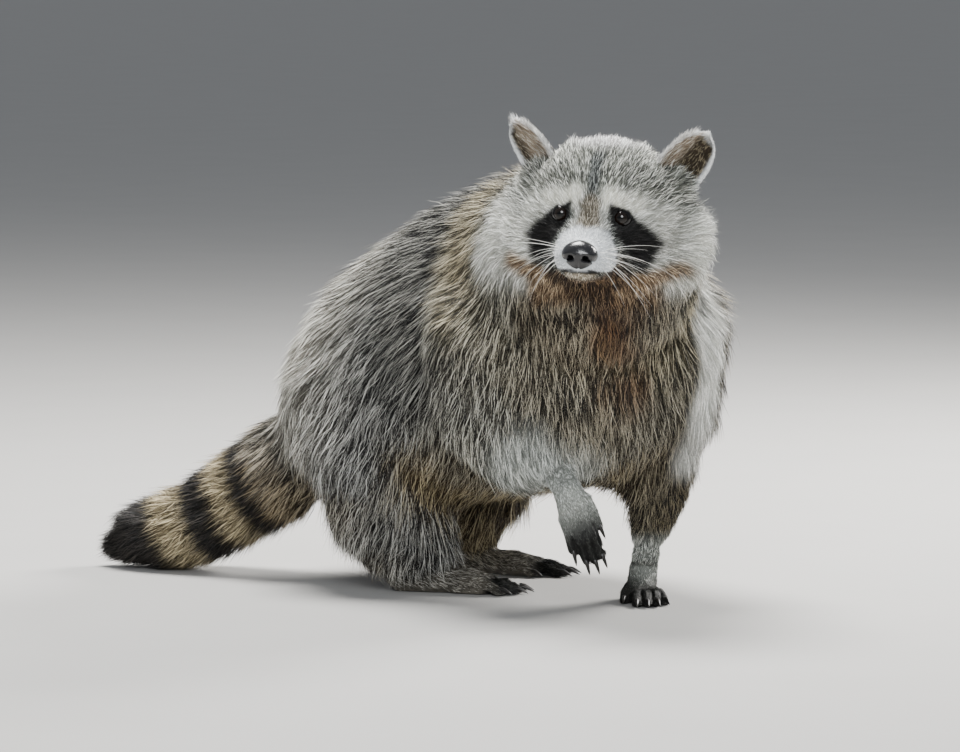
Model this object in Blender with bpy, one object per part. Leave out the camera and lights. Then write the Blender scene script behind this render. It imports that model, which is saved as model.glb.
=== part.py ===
"""Life-size raccoon, standing still with its right forepaw lifted.

Metres, +Z up. The body faces -Y and the raccoon's own left is +X. The trunk bends to
the raccoon's right: the hips are turned to its left of the way ahead, the shoulders to
its right, and the head further still. Yaws are degrees about +Z from straight ahead,
positive to the raccoon's left.

Every piece shows the outline of the coat, out to the tips of the hair. The flesh is
built from named sizes as a few fused forms, and is then parted into its named pieces
with thin cuts. Eyes, nose, ears and claws are pieces of their own.
"""

import math

import bmesh
import bpy
from mathutils import Matrix, Vector

# ---------------------------------------------------------------- driving sizes
GAP = 0.0003  # between neighbouring pieces
SLIVER = 0.00012  # corners closer than this are merged once a piece is cut
BODY_VOXEL, HEAD_VOXEL, PAW_VOXEL = 0.0045, 0.0026, 0.0012
BODY_TRIANGLES, HEAD_TRIANGLES, FOREPAW_TRIANGLES, HINDPAW_TRIANGLES = 1600, 950, 210, 190
BODY_SMOOTHING, HEAD_SMOOTHING, PAW_SMOOTHING = 7, 4, 3
# How many rings of points each kind of ball is made with, from pole to pole.
BALL_STEPS, MUZZLE_STEPS, LINK_STEPS, EAR_STEPS, EYE_STEPS, SCOOP_STEPS, CELL_STEPS = 14, 10, 9, 7, 6, 5, 5

HIPS = Vector((0.003, 0.109, 0.0))
HIP_YAW, SHOULDER_YAW = 27.0, -30.0
SPINE_LENGTH = 0.225  # from over the hips to over the shoulders

HEAD_CENTRE = Vector((-0.0572, -0.1788, 0.2660))
HEAD_YAW, HEAD_PITCH, HEAD_ROLL = -57.0, 3.0, 3.5

# Trunk, from the rump to the breast: distance along the spine from the hips, height of
# the back, of the widest level and of the belly, and half the width there.
TRUNK = (
    (-0.060, 0.162, 0.128, 0.084, 0.036),
    (-0.047, 0.190, 0.126, 0.068, 0.062),
    (-0.022, 0.222, 0.124, 0.060, 0.086),
    (0.010, 0.246, 0.124, 0.057, 0.103),
    (0.060, 0.275, 0.130, 0.058, 0.113),
    (0.115, 0.297, 0.140, 0.062, 0.112),
    (0.170, 0.311, 0.155, 0.070, 0.104),
    (0.225, 0.311, 0.170, 0.080, 0.098),
    (0.265, 0.282, 0.180, 0.092, 0.084),
    (0.290, 0.245, 0.185, 0.118, 0.055),
)
RING_SIDES, SPANS = 28, 4  # sides to a ring, rings from each station to the next

# Neck: a chain of balls from the shoulders into the back of the head.
NECK = (
    (Vector((-0.008, -0.106, 0.228)), 0.084),
    (Vector((-0.028, -0.138, 0.244)), 0.080),
    (Vector((-0.046, -0.158, 0.254)), 0.070),
)

# Head, in its own frame: -Y to the nose, +X to the raccoon's left. Centre, radii.
SKULL = (Vector((0.0, 0.004, 0.010)), Vector((0.058, 0.062, 0.048)))
CROWN = (Vector((0.0, -0.004, 0.027)), Vector((0.050, 0.046, 0.038)))
CHEEK = (Vector((0.0405, 0.017, -0.008)), Vector((0.036, 0.036, 0.038)))
JOWL = (Vector((0.024, -0.020, -0.020)), Vector((0.027, 0.032, 0.022)))
BROW = (Vector((0.018, -0.030, 0.020)), Vector((0.018, 0.016, 0.013)))
# Muzzle, as balls from the face to the tip: centre, then half width and half height.
MUZZLE = (
    (Vector((0.0, -0.016, 0.000)), 0.041, 0.036),
    (Vector((0.0, -0.043, -0.0060)), 0.0285, 0.0235),
    (Vector((0.0, -0.061, -0.0105)), 0.0215, 0.0170),
    (Vector((0.0, -0.0695, -0.0120)), 0.0180, 0.0150),
)
NOSE_CENTRE, NOSE_SIZE = Vector((0.0, -0.0820, -0.0065)), Vector((0.0118, 0.0085, 0.0092))
NOSTRIL = (Vector((0.0062, -0.0082, -0.0012)), 0.0026)
NOSTRIL_SHAPE = Vector((1.0, 1.4, 0.8))
EYE_CENTRE, EYE_RADIUS = Vector((0.0205, -0.0455, 0.0150)), 0.0074
EYE_OPENING = Vector((0.0064, 0.0100, 0.0050))
EAR_ROOT, EAR_TIP = Vector((0.0430, 0.003, 0.036)), Vector((0.0650, 0.006, 0.0715))
EAR_HALF_WIDTH, EAR_HALF_DEPTH, EAR_TURN = 0.0172, 0.0100, 28.0
EAR_SINK = 0.006  # how far the ear's solid is let into the head
# The hollow of the ear: its half sizes as shares of the ear's own, and how far forward and
# up it lies, as shares of the ear's half depth and half length.
SCOOP_SIZE, SCOOP_FORWARD, SCOOP_UP = Vector((0.80, 1.05, 0.72)), 0.62, 0.16

# Legs, as chains of balls: centre and radius, from the shoulder or hip down.
UPPER_ARM_LEFT = (
    (Vector((0.043, -0.128, 0.192)), 0.058),
    (Vector((0.052, -0.128, 0.128)), 0.044),
    (Vector((0.055, -0.125, 0.084)), 0.0290),
)
FOREARM_LEFT = (
    (Vector((0.055, -0.125, 0.084)), 0.0290),
    (Vector((0.053, -0.121, 0.058)), 0.0185),
    (Vector((0.050, -0.118, 0.041)), 0.0120),
    (Vector((0.050, -0.117, 0.020)), 0.0108),
)
UPPER_ARM_RIGHT = (
    (Vector((-0.056, -0.078, 0.185)), 0.056),
    (Vector((-0.058, -0.084, 0.140)), 0.047),
    (Vector((-0.053, -0.098, 0.112)), 0.033),
)
FOREARM_RIGHT = (
    (Vector((-0.053, -0.098, 0.112)), 0.033),
    (Vector((-0.0532, -0.1256, 0.1073)), 0.0145),
    (Vector((-0.0566, -0.1356, 0.0979)), 0.0110),
    (Vector((-0.0592, -0.1457, 0.0866)), 0.0104),
)
THIGH_RIGHT = (
    (Vector((-0.034, 0.080, 0.138)), 0.057),
    (Vector((-0.038, 0.055, 0.105)), 0.058),
    (Vector((-0.034, 0.050, 0.068)), 0.049),
)
SHANK_RIGHT = (
    (Vector((-0.034, 0.050, 0.068)), 0.049),
    (Vector((-0.028, 0.042, 0.044)), 0.039),
    (Vector((-0.032, 0.042, 0.022)), 0.024),
)
THIGH_LEFT = (
    (Vector((0.046, 0.112, 0.138)), 0.062),
    (Vector((0.056, 0.094, 0.105)), 0.056),
    (Vector((0.078, 0.074, 0.074)), 0.043),
)
SHANK_LEFT = (
    (Vector((0.078, 0.074, 0.074)), 0.043),
    (Vector((0.076, 0.085, 0.046)), 0.032),
    (Vector((0.073, 0.094, 0.022)), 0.021),
)
TAIL = (
    (Vector((-0.022, 0.138, 0.100)), 0.040),
    (Vector((-0.034, 0.178, 0.070)), 0.0370),
    (Vector((-0.049, 0.219, 0.0420)), 0.0345),
    (Vector((-0.062, 0.249, 0.0290)), 0.0315),
    (Vector((-0.072, 0.273, 0.0240)), 0.0265),
    (Vector((-0.080, 0.291, 0.0170)), 0.0170),
)

# Paws, each in its own frame: the wrist or heel at the origin, -Y to the toes, +Z up,
# and the first toe on the raccoon's middle side.
FORE_PALM = (
    (((0.0040, 0.001, 0.030), 0.0104), ((0.0020, -0.004, 0.0130), 0.0104)),
    (((0.0020, -0.004, 0.0130), 0.0104), ((0.0, -0.012, 0.0085), 0.0094)),
    (((-0.0032, -0.008, 0.0080), 0.0084), ((-0.0046, -0.022, 0.0060), 0.0068)),
    (((0.0032, -0.008, 0.0080), 0.0084), ((0.0046, -0.022, 0.0060), 0.0068)),
)
LIFTED_PALM = (
    (((0.0, 0.004, 0.0040), 0.0108), ((0.0, -0.010, 0.0060), 0.0098)),
    (((-0.0034, -0.008, 0.0070), 0.0086), ((-0.0048, -0.023, 0.0062), 0.0070)),
    (((0.0034, -0.008, 0.0070), 0.0086), ((0.0048, -0.023, 0.0062), 0.0070)),
)
HIND_SOLE = (
    (((0.0, 0.006, 0.020), 0.0140), ((0.0, 0.000, 0.0120), 0.0130)),
    (((0.0, 0.000, 0.0120), 0.0130), ((0.0, -0.022, 0.0100), 0.0118)),
    (((0.0, -0.022, 0.0095), 0.0118), ((0.0, -0.052, 0.0070), 0.0095)),
    (((-0.0060, -0.040, 0.0065), 0.0085), ((-0.0080, -0.058, 0.0060), 0.0078)),
    (((0.0060, -0.040, 0.0065), 0.0085), ((0.0080, -0.058, 0.0060), 0.0078)),
)
# Each paw: where its wrist or heel is, yaw, pitch, roll, whether it's a right one, and so
# the mirror of a left, whether it's a forepaw and whether it's lifted.
PAWS = {
    "forepaw_left": ((0.0545, -0.1065, -0.0010), (-40.0, 0.0, 0.0), False, True, False),
    "forepaw_right": ((-0.0587, -0.1448, 0.0888), (32.0, 68.0, -68.0), True, True, True),
    "hindfoot_right": ((-0.032, 0.040, -0.0010), (33.0, 0.0, 0.0), True, False, False),
    "hindfoot_left": ((0.0735, 0.0925, -0.0010), (25.0, 0.0, 0.0), False, False, False),
}
# How widely each paw fans its toes, as a share of TOE_FAN.
TOE_SPREAD = {"forepaw_left": 0.36, "forepaw_right": 0.20, "hindfoot_right": 0.55, "hindfoot_left": 0.55}
# Where each paw is parted from its leg: a point of the cut, and how far the cut's
# direction dips below level. LEG_ENDS names the legs' last pieces in the same order.
WRISTS = {
    "forepaw_left": ((0.0510, -0.117, 0.0270), 90.0),
    "forepaw_right": ((-0.0582, -0.1424, 0.0917), 60.0),
    "hindfoot_right": ((-0.032, 0.040, 0.0210), 90.0),
    "hindfoot_left": ((0.0735, 0.0925, 0.0210), 90.0),
}
LEG_ENDS = ("forearm_left", "forearm_right", "shank_right", "shank_left")
TOE_FAN = (-34.0, -15.0, 0.0, 15.0, 33.0)
FORE_TOES = (0.021, 0.028, 0.030, 0.028, 0.023)
HIND_TOES = (0.015, 0.021, 0.023, 0.021, 0.017)
TOE_RADII = (0.0050, 0.0043, 0.0038)
# From one toe's root to the next, and how far ahead of the wrist or heel the roots lie.
FORE_KNUCKLES, HIND_KNUCKLES = (0.00442, 0.022), (0.00607, 0.060)
TOE_SETBACK = (0.012, 0.0, 0.0, 0.0, 0.004)  # how far each toe's root lies behind the others
TOE_HEIGHT, TOE_ARCH, TOE_DROP = 0.0062, 0.0014, 0.0030
CLAW_AHEAD, CLAW_RISE = 0.0016, 0.0026  # the claw's root, from the middle of the toe's tip
CLAW_LENGTH, CLAW_RADIUS, CLAW_BEND, CLAW_RINGS, CLAW_SIDES = 0.0100, 0.0018, 38.0, 3, 5
CLAW_NARROWNESS, CLAW_TAPER = 0.72, 0.6

HEAD_CELL = (Vector((0.0, -0.062, 0.030)), Vector((0.135, 0.120, 0.098)))

GREY = (0.23, 0.20, 0.16)
TAWNY = (0.36, 0.27, 0.17)
PALE = (0.50, 0.46, 0.38)
DARK = (0.06, 0.05, 0.045)
HORN = (0.10, 0.085, 0.07)
BLACK = (0.012, 0.011, 0.012)
SHARP_EDGE = 40.0  # degrees; edges that turn less are shaded smooth


# ---------------------------------------------------------------- small helpers
def forward(yaw):
    """The level direction that a yaw looks along."""
    return Vector((math.sin(math.radians(yaw)), -math.cos(math.radians(yaw)), 0.0))


def frame(place, yaw, pitch=0.0, roll=0.0):
    """A frame at a place, turned by yaw, then its nose dipped and its left side lowered."""
    turn = Matrix.Rotation(math.radians(yaw), 4, "Z")
    turn @= Matrix.Rotation(math.radians(pitch), 4, "X")
    turn @= Matrix.Rotation(math.radians(roll), 4, "Y")
    return Matrix.Translation(place) @ turn


def clear_scene():
    """Removes whatever objects the scene starts with."""
    for obj in list(bpy.data.objects):
        bpy.data.objects.remove(obj)


def add_object(name, bm):
    """A mesh object in the scene from a bmesh, which is freed."""
    mesh = bpy.data.meshes.new(name)
    bm.to_mesh(mesh)
    bm.free()
    obj = bpy.data.objects.new(name, mesh)
    bpy.context.scene.collection.objects.link(obj)
    return obj


def apply_modifiers(obj):
    """Makes the object's mesh what its modifiers show."""
    graph = bpy.context.evaluated_depsgraph_get()
    made = bpy.data.meshes.new_from_object(obj.evaluated_get(graph))
    obj.modifiers.clear()
    obj.data = made
    return obj


def copy_of(obj):
    """A second object with its own copy of the mesh."""
    twin = obj.copy()
    twin.data = obj.data.copy()
    bpy.context.scene.collection.objects.link(twin)
    return twin


def boolean(obj, cutter, operation):
    """Applies one exact Boolean, and removes the cutter."""
    step = obj.modifiers.new(operation.lower(), "BOOLEAN")
    step.operation, step.object, step.solver = operation, cutter, "EXACT"
    apply_modifiers(obj)
    bpy.data.objects.remove(cutter)
    return obj


def cut_away(obj, cutter):
    """Cuts one object with another, which is removed."""
    return boolean(obj, cutter, "DIFFERENCE")


def grown(radii, grow):
    """Half sizes, larger by the same amount each way."""
    return radii + Vector((grow, grow, grow))


# ---------------------------------------------------------------- forms
def ball_points(centre, radii, turn=None, steps=BALL_STEPS):
    """Points over an ellipsoid, by rings from pole to pole."""
    radii = Vector((radii, radii, radii)) if isinstance(radii, float) else radii
    points = []
    for i in range(steps + 1):
        level = math.pi * i / steps
        for j in range(2 * steps):
            round_ = math.pi * j / steps
            point = Vector(
                (
                    radii.x * math.sin(level) * math.cos(round_),
                    radii.y * math.sin(level) * math.sin(round_),
                    radii.z * math.cos(level),
                )
            )
            points.append(centre + (turn @ point if turn else point))
    return points


def add_hull(bm, points):
    """Adds the convex hull of the points as one closed shell."""
    verts = [bm.verts.new(point) for point in points]
    made = bmesh.ops.convex_hull(bm, input=verts)
    spare = {v for v in made["geom_interior"] + made["geom_unused"] if isinstance(v, bmesh.types.BMVert)}
    bmesh.ops.delete(bm, geom=list(spare), context="VERTS")


def add_ball(bm, centre, radii, turn=None):
    """Adds one ellipsoid."""
    add_hull(bm, ball_points(centre, radii, turn))


def add_chain(bm, beads, place=None):
    """Adds a chain of tapered links, each the hull of two neighbouring balls."""
    place = place or Matrix.Identity(4)
    for (a, ra), (b, rb) in zip(beads, beads[1:]):
        ends = [ball_points(place @ spot, radius, steps=LINK_STEPS) for spot, radius in ((a, ra), (b, rb))]
        add_hull(bm, ends[0] + ends[1])


def spine_point(along):
    """The place and yaw of the spine, which is an arc between hips and shoulders."""
    bend = math.radians(SHOULDER_YAW - HIP_YAW) / SPINE_LENGTH
    inside = min(max(along, 0.0), SPINE_LENGTH)
    start, yaw = math.radians(HIP_YAW), math.radians(HIP_YAW) + bend * inside
    arc = Vector((math.cos(start) - math.cos(yaw), math.sin(start) - math.sin(yaw), 0.0))
    place = HIPS + arc / bend
    return place + forward(math.degrees(yaw)) * (along - inside), math.degrees(yaw)


def smooth_stations(stations, steps):
    """Catmull-Rom stations between the given ones, steps to each span."""
    padded = (stations[0],) + tuple(stations) + (stations[-1],)
    for k in range(len(stations) - 1):
        p0, p1, p2, p3 = padded[k : k + 4]
        for i in range(steps):
            t = i / steps
            weights = (
                (2 * t**2 - t - t**3) / 2,
                (2 - 5 * t**2 + 3 * t**3) / 2,
                (t + 4 * t**2 - 3 * t**3) / 2,
                (t**3 - t**2) / 2,
            )
            yield tuple(sum(w * v for w, v in zip(weights, values)) for values in zip(p0, p1, p2, p3))
    yield stations[-1]


def add_trunk(bm):
    """Adds the trunk, lofted through egg-shaped rings that stand across the spine."""
    rings = []
    for along, back, widest, belly, half_width in smooth_stations(TRUNK, SPANS):
        place, yaw = spine_point(along)
        side = Matrix.Rotation(math.radians(yaw), 3, "Z") @ Vector((1.0, 0.0, 0.0))
        ring = []
        for i in range(RING_SIDES):
            angle = 2 * math.pi * i / RING_SIDES
            tall = back - widest if math.sin(angle) > 0 else widest - belly
            height = widest + tall * math.sin(angle)
            out = side * half_width * math.cos(angle)
            ring.append(bm.verts.new(place + out + Vector((0.0, 0.0, height))))
        rings.append(ring)
    for a, b in zip(rings, rings[1:]):
        for i in range(RING_SIDES):
            j = (i + 1) % RING_SIDES
            bm.faces.new((a[i], a[j], b[j], b[i]))
    bm.faces.new(rings[0][::-1])
    bm.faces.new(rings[-1])
    bmesh.ops.recalc_face_normals(bm, faces=bm.faces)


def add_head(bm, head):
    """Adds the skull, cheeks, jowls, brows and muzzle, set in the head's frame."""
    turn = head.to_3x3()
    mirror = Vector((-1.0, 1.0, 1.0))
    for centre, radii in (SKULL, CROWN):
        add_ball(bm, head @ centre, radii, turn)
    for centre, radii in (CHEEK, JOWL, BROW):
        add_ball(bm, head @ centre, radii, turn)
        add_ball(bm, head @ (centre * mirror), radii, turn)
    for (a, wa, ha), (b, wb, hb) in zip(MUZZLE, MUZZLE[1:]):
        points = ball_points(head @ a, Vector((wa, wa, ha)), turn, MUZZLE_STEPS)
        points += ball_points(head @ b, Vector((wb, wb, hb)), turn, MUZZLE_STEPS)
        add_hull(bm, points)


def fused(name, bm, voxel, smoothing, wanted):
    """One smooth closed form from overlapping shells, with about so many triangles."""
    obj = add_object(name, bm)
    remesh = obj.modifiers.new("fuse", "REMESH")
    remesh.mode, remesh.voxel_size = "VOXEL", voxel
    apply_modifiers(obj)
    smooth = obj.modifiers.new("smooth", "SMOOTH")
    smooth.factor, smooth.iterations = 0.5, smoothing
    apply_modifiers(obj)
    triangles = sum(len(p.vertices) - 2 for p in obj.data.polygons)
    thin = obj.modifiers.new("thin", "DECIMATE")
    thin.ratio = min(1.0, wanted / triangles)
    return apply_modifiers(obj)


# ---------------------------------------------------------------- parting
def cell_box(place, half, grow=0.0):
    """A box cell about a frame, from its half sizes."""
    bm = bmesh.new()
    bmesh.ops.create_cube(bm, size=2.0)
    bmesh.ops.scale(bm, vec=grown(half, grow), verts=bm.verts)
    bmesh.ops.transform(bm, matrix=place, verts=bm.verts)
    return add_object("cell", bm)


def cell_egg(place, half, grow=0.0):
    """An egg-shaped cell about a frame, from its half sizes."""
    bm = bmesh.new()
    add_hull(bm, ball_points(Vector((0, 0, 0)), grown(half, grow), None, CELL_STEPS))
    bmesh.ops.transform(bm, matrix=place, verts=bm.verts)
    return add_object("cell", bm)


def carve(body, name, shape, place, half):
    """Takes what lies in a cell out of the body as a piece, and leaves the gap around it."""
    piece = copy_of(body)
    piece.name = name
    for obj, operation, grow in ((piece, "INTERSECT", 0.0), (body, "DIFFERENCE", GAP)):
        boolean(obj, shape(place, half, grow), operation)
    return piece


def largest_only(obj):
    """Deletes all but the biggest connected shell, so that a stray crumb can't stay."""
    bm = bmesh.new()
    bm.from_mesh(obj.data)
    left, shells = set(bm.verts), []
    while left:
        shell, todo = set(), [left.pop()]
        while todo:
            vert = todo.pop()
            shell.add(vert)
            near = {e.other_vert(vert) for e in vert.link_edges} & left
            left -= near
            todo += near
        shells.append(shell)
    shells.sort(key=len)
    bmesh.ops.delete(bm, geom=[v for shell in shells[:-1] for v in shell], context="VERTS")
    bmesh.ops.remove_doubles(bm, verts=bm.verts, dist=SLIVER)
    bmesh.ops.dissolve_degenerate(bm, edges=bm.edges, dist=SLIVER)
    bmesh.ops.triangulate(bm, faces=bm.faces)
    bm.to_mesh(obj.data)
    bm.free()
    return obj


def slice_off(obj, point, normal):
    """Cuts away what lies behind a plane, and closes the cut with a flat face."""
    bm = bmesh.new()
    bm.from_mesh(obj.data)
    everything = bm.verts[:] + bm.edges[:] + bm.faces[:]
    cut = bmesh.ops.bisect_plane(bm, geom=everything, plane_co=point, plane_no=normal, clear_inner=True)
    edges = [e for e in cut["geom_cut"] if isinstance(e, bmesh.types.BMEdge)]
    bmesh.ops.holes_fill(bm, edges=edges)
    bmesh.ops.triangulate(bm, faces=bm.faces)
    bm.to_mesh(obj.data)
    bm.free()
    return obj


def stand_flat(obj):
    """Cuts off what reaches below the floor, which leaves a flat to stand on."""
    return slice_off(obj, Vector((0, 0, 0)), Vector((0, 0, 1)))


def paint(obj, colour, roughness):
    """Gives an object its own plain material and smooth shading."""
    material = bpy.data.materials.new(obj.name)
    material.use_nodes = True
    shader = material.node_tree.nodes["Principled BSDF"]
    shader.inputs["Base Color"].default_value = (*colour, 1.0)
    shader.inputs["Roughness"].default_value = roughness
    shader.inputs["Metallic"].default_value = 0.0
    obj.data.materials.clear()
    obj.data.materials.append(material)
    obj.data.shade_smooth()
    obj.data.set_sharp_from_angle(angle=math.radians(SHARP_EDGE))
    return obj


# ---------------------------------------------------------------- the raccoon
def make_claw(name, place, grow=0.0):
    """A curved, pointed claw at a toe's tip, along -Y and bending down."""
    bm = bmesh.new()
    rings = []
    bend = math.radians(CLAW_BEND)
    for k in range(CLAW_RINGS):
        share = k / CLAW_RINGS
        angle = bend * share
        centre = Vector((0.0, -math.sin(angle), math.cos(angle) - 1)) * (CLAW_LENGTH / bend)
        if k == 0:
            centre.y += grow
        radius = CLAW_RADIUS * (1 - share) ** CLAW_TAPER + grow
        out = Vector((0.0, math.sin(angle), math.cos(angle)))
        ring = []
        for i in range(CLAW_SIDES):
            turn = 2 * math.pi * i / CLAW_SIDES
            across = Vector((CLAW_NARROWNESS * radius * math.cos(turn), 0.0, 0.0))
            ring.append(bm.verts.new(centre + across + out * radius * math.sin(turn)))
        rings.append(ring)
    tip = bm.verts.new(Vector((0.0, -math.sin(bend), math.cos(bend) - 1)) * (CLAW_LENGTH / bend + grow))
    for a, b in zip(rings, rings[1:]):
        for i in range(CLAW_SIDES):
            j = (i + 1) % CLAW_SIDES
            bm.faces.new((a[i], a[j], b[j], b[i]))
    for i in range(CLAW_SIDES):
        bm.faces.new((rings[-1][i], rings[-1][(i + 1) % CLAW_SIDES], tip))
    bm.faces.new(rings[0][::-1])
    bmesh.ops.transform(bm, matrix=place, verts=bm.verts)
    bmesh.ops.recalc_face_normals(bm, faces=bm.faces)
    return add_object(name, bm)


def make_paw(name, place, right, fore, lifted):
    """A paw with five toes, each with its own claw. The toes of a lifted paw hang together."""
    bm = bmesh.new()
    flip = Matrix.Scale(-1.0 if right else 1.0, 4, (1, 0, 0))
    place = place @ flip
    palm_shells(bm, place, LIFTED_PALM if lifted else FORE_PALM if fore else HIND_SOLE)
    across, knuckles = FORE_KNUCKLES if fore else HIND_KNUCKLES
    claws = []
    for k, length in enumerate(FORE_TOES if fore else HIND_TOES):
        yaw = TOE_FAN[k] * TOE_SPREAD[name]
        ahead = forward(yaw)
        root = Vector((across * (k - 2), TOE_SETBACK[k] - knuckles, TOE_HEIGHT))
        middle = root + ahead * length * 0.5 + Vector((0.0, 0.0, TOE_ARCH))
        tip = root + ahead * length - Vector((0.0, 0.0, TOE_DROP))
        add_chain(bm, list(zip((root, middle, tip), TOE_RADII)), place)
        seat = frame(tip + ahead * CLAW_AHEAD + Vector((0.0, 0.0, CLAW_RISE)), yaw)
        claws.append((f"claw_{name}_{k + 1}", place @ seat))
    triangles = FOREPAW_TRIANGLES if fore else HINDPAW_TRIANGLES
    paw = fused(name, bm, PAW_VOXEL, PAW_SMOOTHING, triangles)
    for claw_name, seat in claws:
        cut_away(paw, make_claw("cutter", seat, GAP))
        paint(make_claw(claw_name, seat), HORN, 0.35)
    return paw


def palm_shells(bm, place, spots):
    """The wrist or heel and the palm or sole, behind the toes."""
    for (a, ra), (b, rb) in spots:
        add_chain(bm, ((Vector(a), ra), (Vector(b), rb)), place)


def settle():
    """Moves everything so that the middle of the model's box stands on the origin."""
    bpy.context.view_layer.update()
    corners = [obj.matrix_world @ v.co for obj in bpy.data.objects for v in obj.data.vertices]
    low = Vector([min(c[i] for c in corners) for i in range(3)])
    high = Vector([max(c[i] for c in corners) for i in range(3)])
    stand = Vector(((low.x + high.x) / 2, (low.y + high.y) / 2, low.z))
    for obj in bpy.data.objects:
        obj.data.transform(Matrix.Translation(-stand))


def make_ear(name, head, side, grow=0.0, scooped=True):
    """A rounded ear that opens forwards and outwards. Grown and unscooped, it is its own cutter."""
    flip = Vector((side, 1.0, 1.0))
    root, tip = EAR_ROOT * flip, EAR_TIP * flip
    up = (tip - root).normalized()
    front = Matrix.Rotation(math.radians(EAR_TURN * side), 3, "Z") @ Vector((0, -1, 0))
    across = up.cross(front).normalized()
    front = across.cross(up).normalized()
    turn = Matrix((across, -front, up)).transposed()
    half_length = (tip - root).length / 2 + EAR_SINK
    middle = (root + tip) / 2 - up * EAR_SINK
    place = head @ Matrix.Translation(middle) @ turn.to_4x4()
    bm = bmesh.new()
    radii = Vector((EAR_HALF_WIDTH, EAR_HALF_DEPTH, half_length))
    add_hull(bm, ball_points(Vector((0, 0, 0)), grown(radii, grow), None, EAR_STEPS))
    bmesh.ops.transform(bm, matrix=place, verts=bm.verts)
    ear = add_object(name, bm)
    if scooped:
        bm = bmesh.new()
        centre = Vector((0.0, -EAR_HALF_DEPTH * SCOOP_FORWARD, half_length * SCOOP_UP))
        add_hull(bm, ball_points(centre, radii * SCOOP_SIZE, None, SCOOP_STEPS))
        bmesh.ops.transform(bm, matrix=place, verts=bm.verts)
        cut_away(ear, add_object("cutter", bm))
    return ear


def make_solid(name, place, centre, radii, grow=0.0):
    """An ellipsoid in a frame."""
    bm = bmesh.new()
    add_hull(bm, ball_points(place @ centre, grown(radii, grow), place.to_3x3(), EYE_STEPS))
    return add_object(name, bm)


def make_head_pieces(head_frame, head):
    """Eyes, nose and ears, each let into the head."""
    for side, word in ((1.0, "left"), (-1.0, "right")):
        flip = Vector((side, 1.0, 1.0))
        radii = Vector((EYE_RADIUS,) * 3)
        cut_away(head, make_solid("cutter", head_frame, EYE_CENTRE * flip, radii, GAP))
        front = EYE_CENTRE * flip + Vector((0.0, -EYE_RADIUS, 0.0))
        cut_away(head, make_solid("cutter", head_frame, front, EYE_OPENING))
        paint(make_solid(f"eye_{word}", head_frame, EYE_CENTRE * flip, radii), BLACK, 0.1)
        cut_away(head, make_ear("cutter", head_frame, side, GAP, scooped=False))
        paint(make_ear(f"ear_{word}", head_frame, side), PALE, 0.9)
    cut_away(head, make_solid("cutter", head_frame, NOSE_CENTRE, NOSE_SIZE, GAP))
    nose = make_solid("nose", head_frame, NOSE_CENTRE, NOSE_SIZE)
    for side in (1.0, -1.0):
        centre, radius = NOSTRIL
        place = NOSE_CENTRE + centre * Vector((side, 1.0, 1.0))
        cut_away(nose, make_solid("cutter", head_frame, place, radius * NOSTRIL_SHAPE))
    paint(nose, BLACK, 0.3)


# Where the body is parted, in order: piece, shape of the cell, its centre, its yaw and
# pitch, its half sizes. A cell takes what is left of the body inside it.
CELLS = (
    ("tail_tip", cell_box, (-0.075, 0.300, 0.030), -163.0, 30.0, (0.060, 0.043, 0.080)),
    ("tail_middle", cell_box, (-0.045, 0.217, 0.060), -163.0, 36.0, (0.060, 0.050, 0.080)),
    ("tail_base", cell_box, (-0.025, 0.171, 0.092), -165.0, 38.0, (0.060, 0.020, 0.058)),
    ("forearm_left", cell_box, (0.0535, -0.123, 0.030), 0.0, 0.0, (0.035, 0.037, 0.050)),
    ("forearm_right", cell_egg, (-0.0612, -0.1300, 0.1020), 0.0, 38.0, (0.030, 0.031, 0.024)),
    ("upper_arm_left", cell_egg, (0.070, -0.138, 0.140), 0.0, 0.0, (0.062, 0.068, 0.095)),
    ("upper_arm_right", cell_egg, (-0.064, -0.086, 0.150), 0.0, 0.0, (0.052, 0.056, 0.082)),
    ("neck", cell_egg, (-0.034, -0.146, 0.240), -45.0, 0.0, (0.105, 0.084, 0.096)),
    ("shank_right", cell_box, (-0.028, 0.045, 0.012), 0.0, 0.0, (0.055, 0.065, 0.045)),
    ("shank_left", cell_box, (0.078, 0.082, 0.012), 0.0, 0.0, (0.046, 0.060, 0.045)),
    ("thigh_right", cell_egg, (-0.056, 0.080, 0.128), 20.0, 0.0, (0.064, 0.096, 0.092)),
    ("thigh_left", cell_egg, (0.092, 0.098, 0.122), 20.0, 0.0, (0.062, 0.094, 0.088)),
)


def make_flesh(head_frame):
    """The fused flesh, before it is parted, and a finer copy of its head."""
    bm = bmesh.new()
    add_chain(bm, NECK)
    add_head(bm, head_frame)
    head = fused("head", bm, HEAD_VOXEL, HEAD_SMOOTHING, HEAD_TRIANGLES)
    bm = bmesh.new()
    add_trunk(bm)
    add_chain(bm, NECK)
    add_head(bm, head_frame)
    for limb in (UPPER_ARM_LEFT, FOREARM_LEFT, UPPER_ARM_RIGHT, FOREARM_RIGHT):
        add_chain(bm, limb)
    for limb in (THIGH_RIGHT, SHANK_RIGHT, THIGH_LEFT, SHANK_LEFT, TAIL):
        add_chain(bm, limb)
    trunk = fused("trunk", bm, BODY_VOXEL, BODY_SMOOTHING, BODY_TRIANGLES)
    return head, trunk


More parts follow.
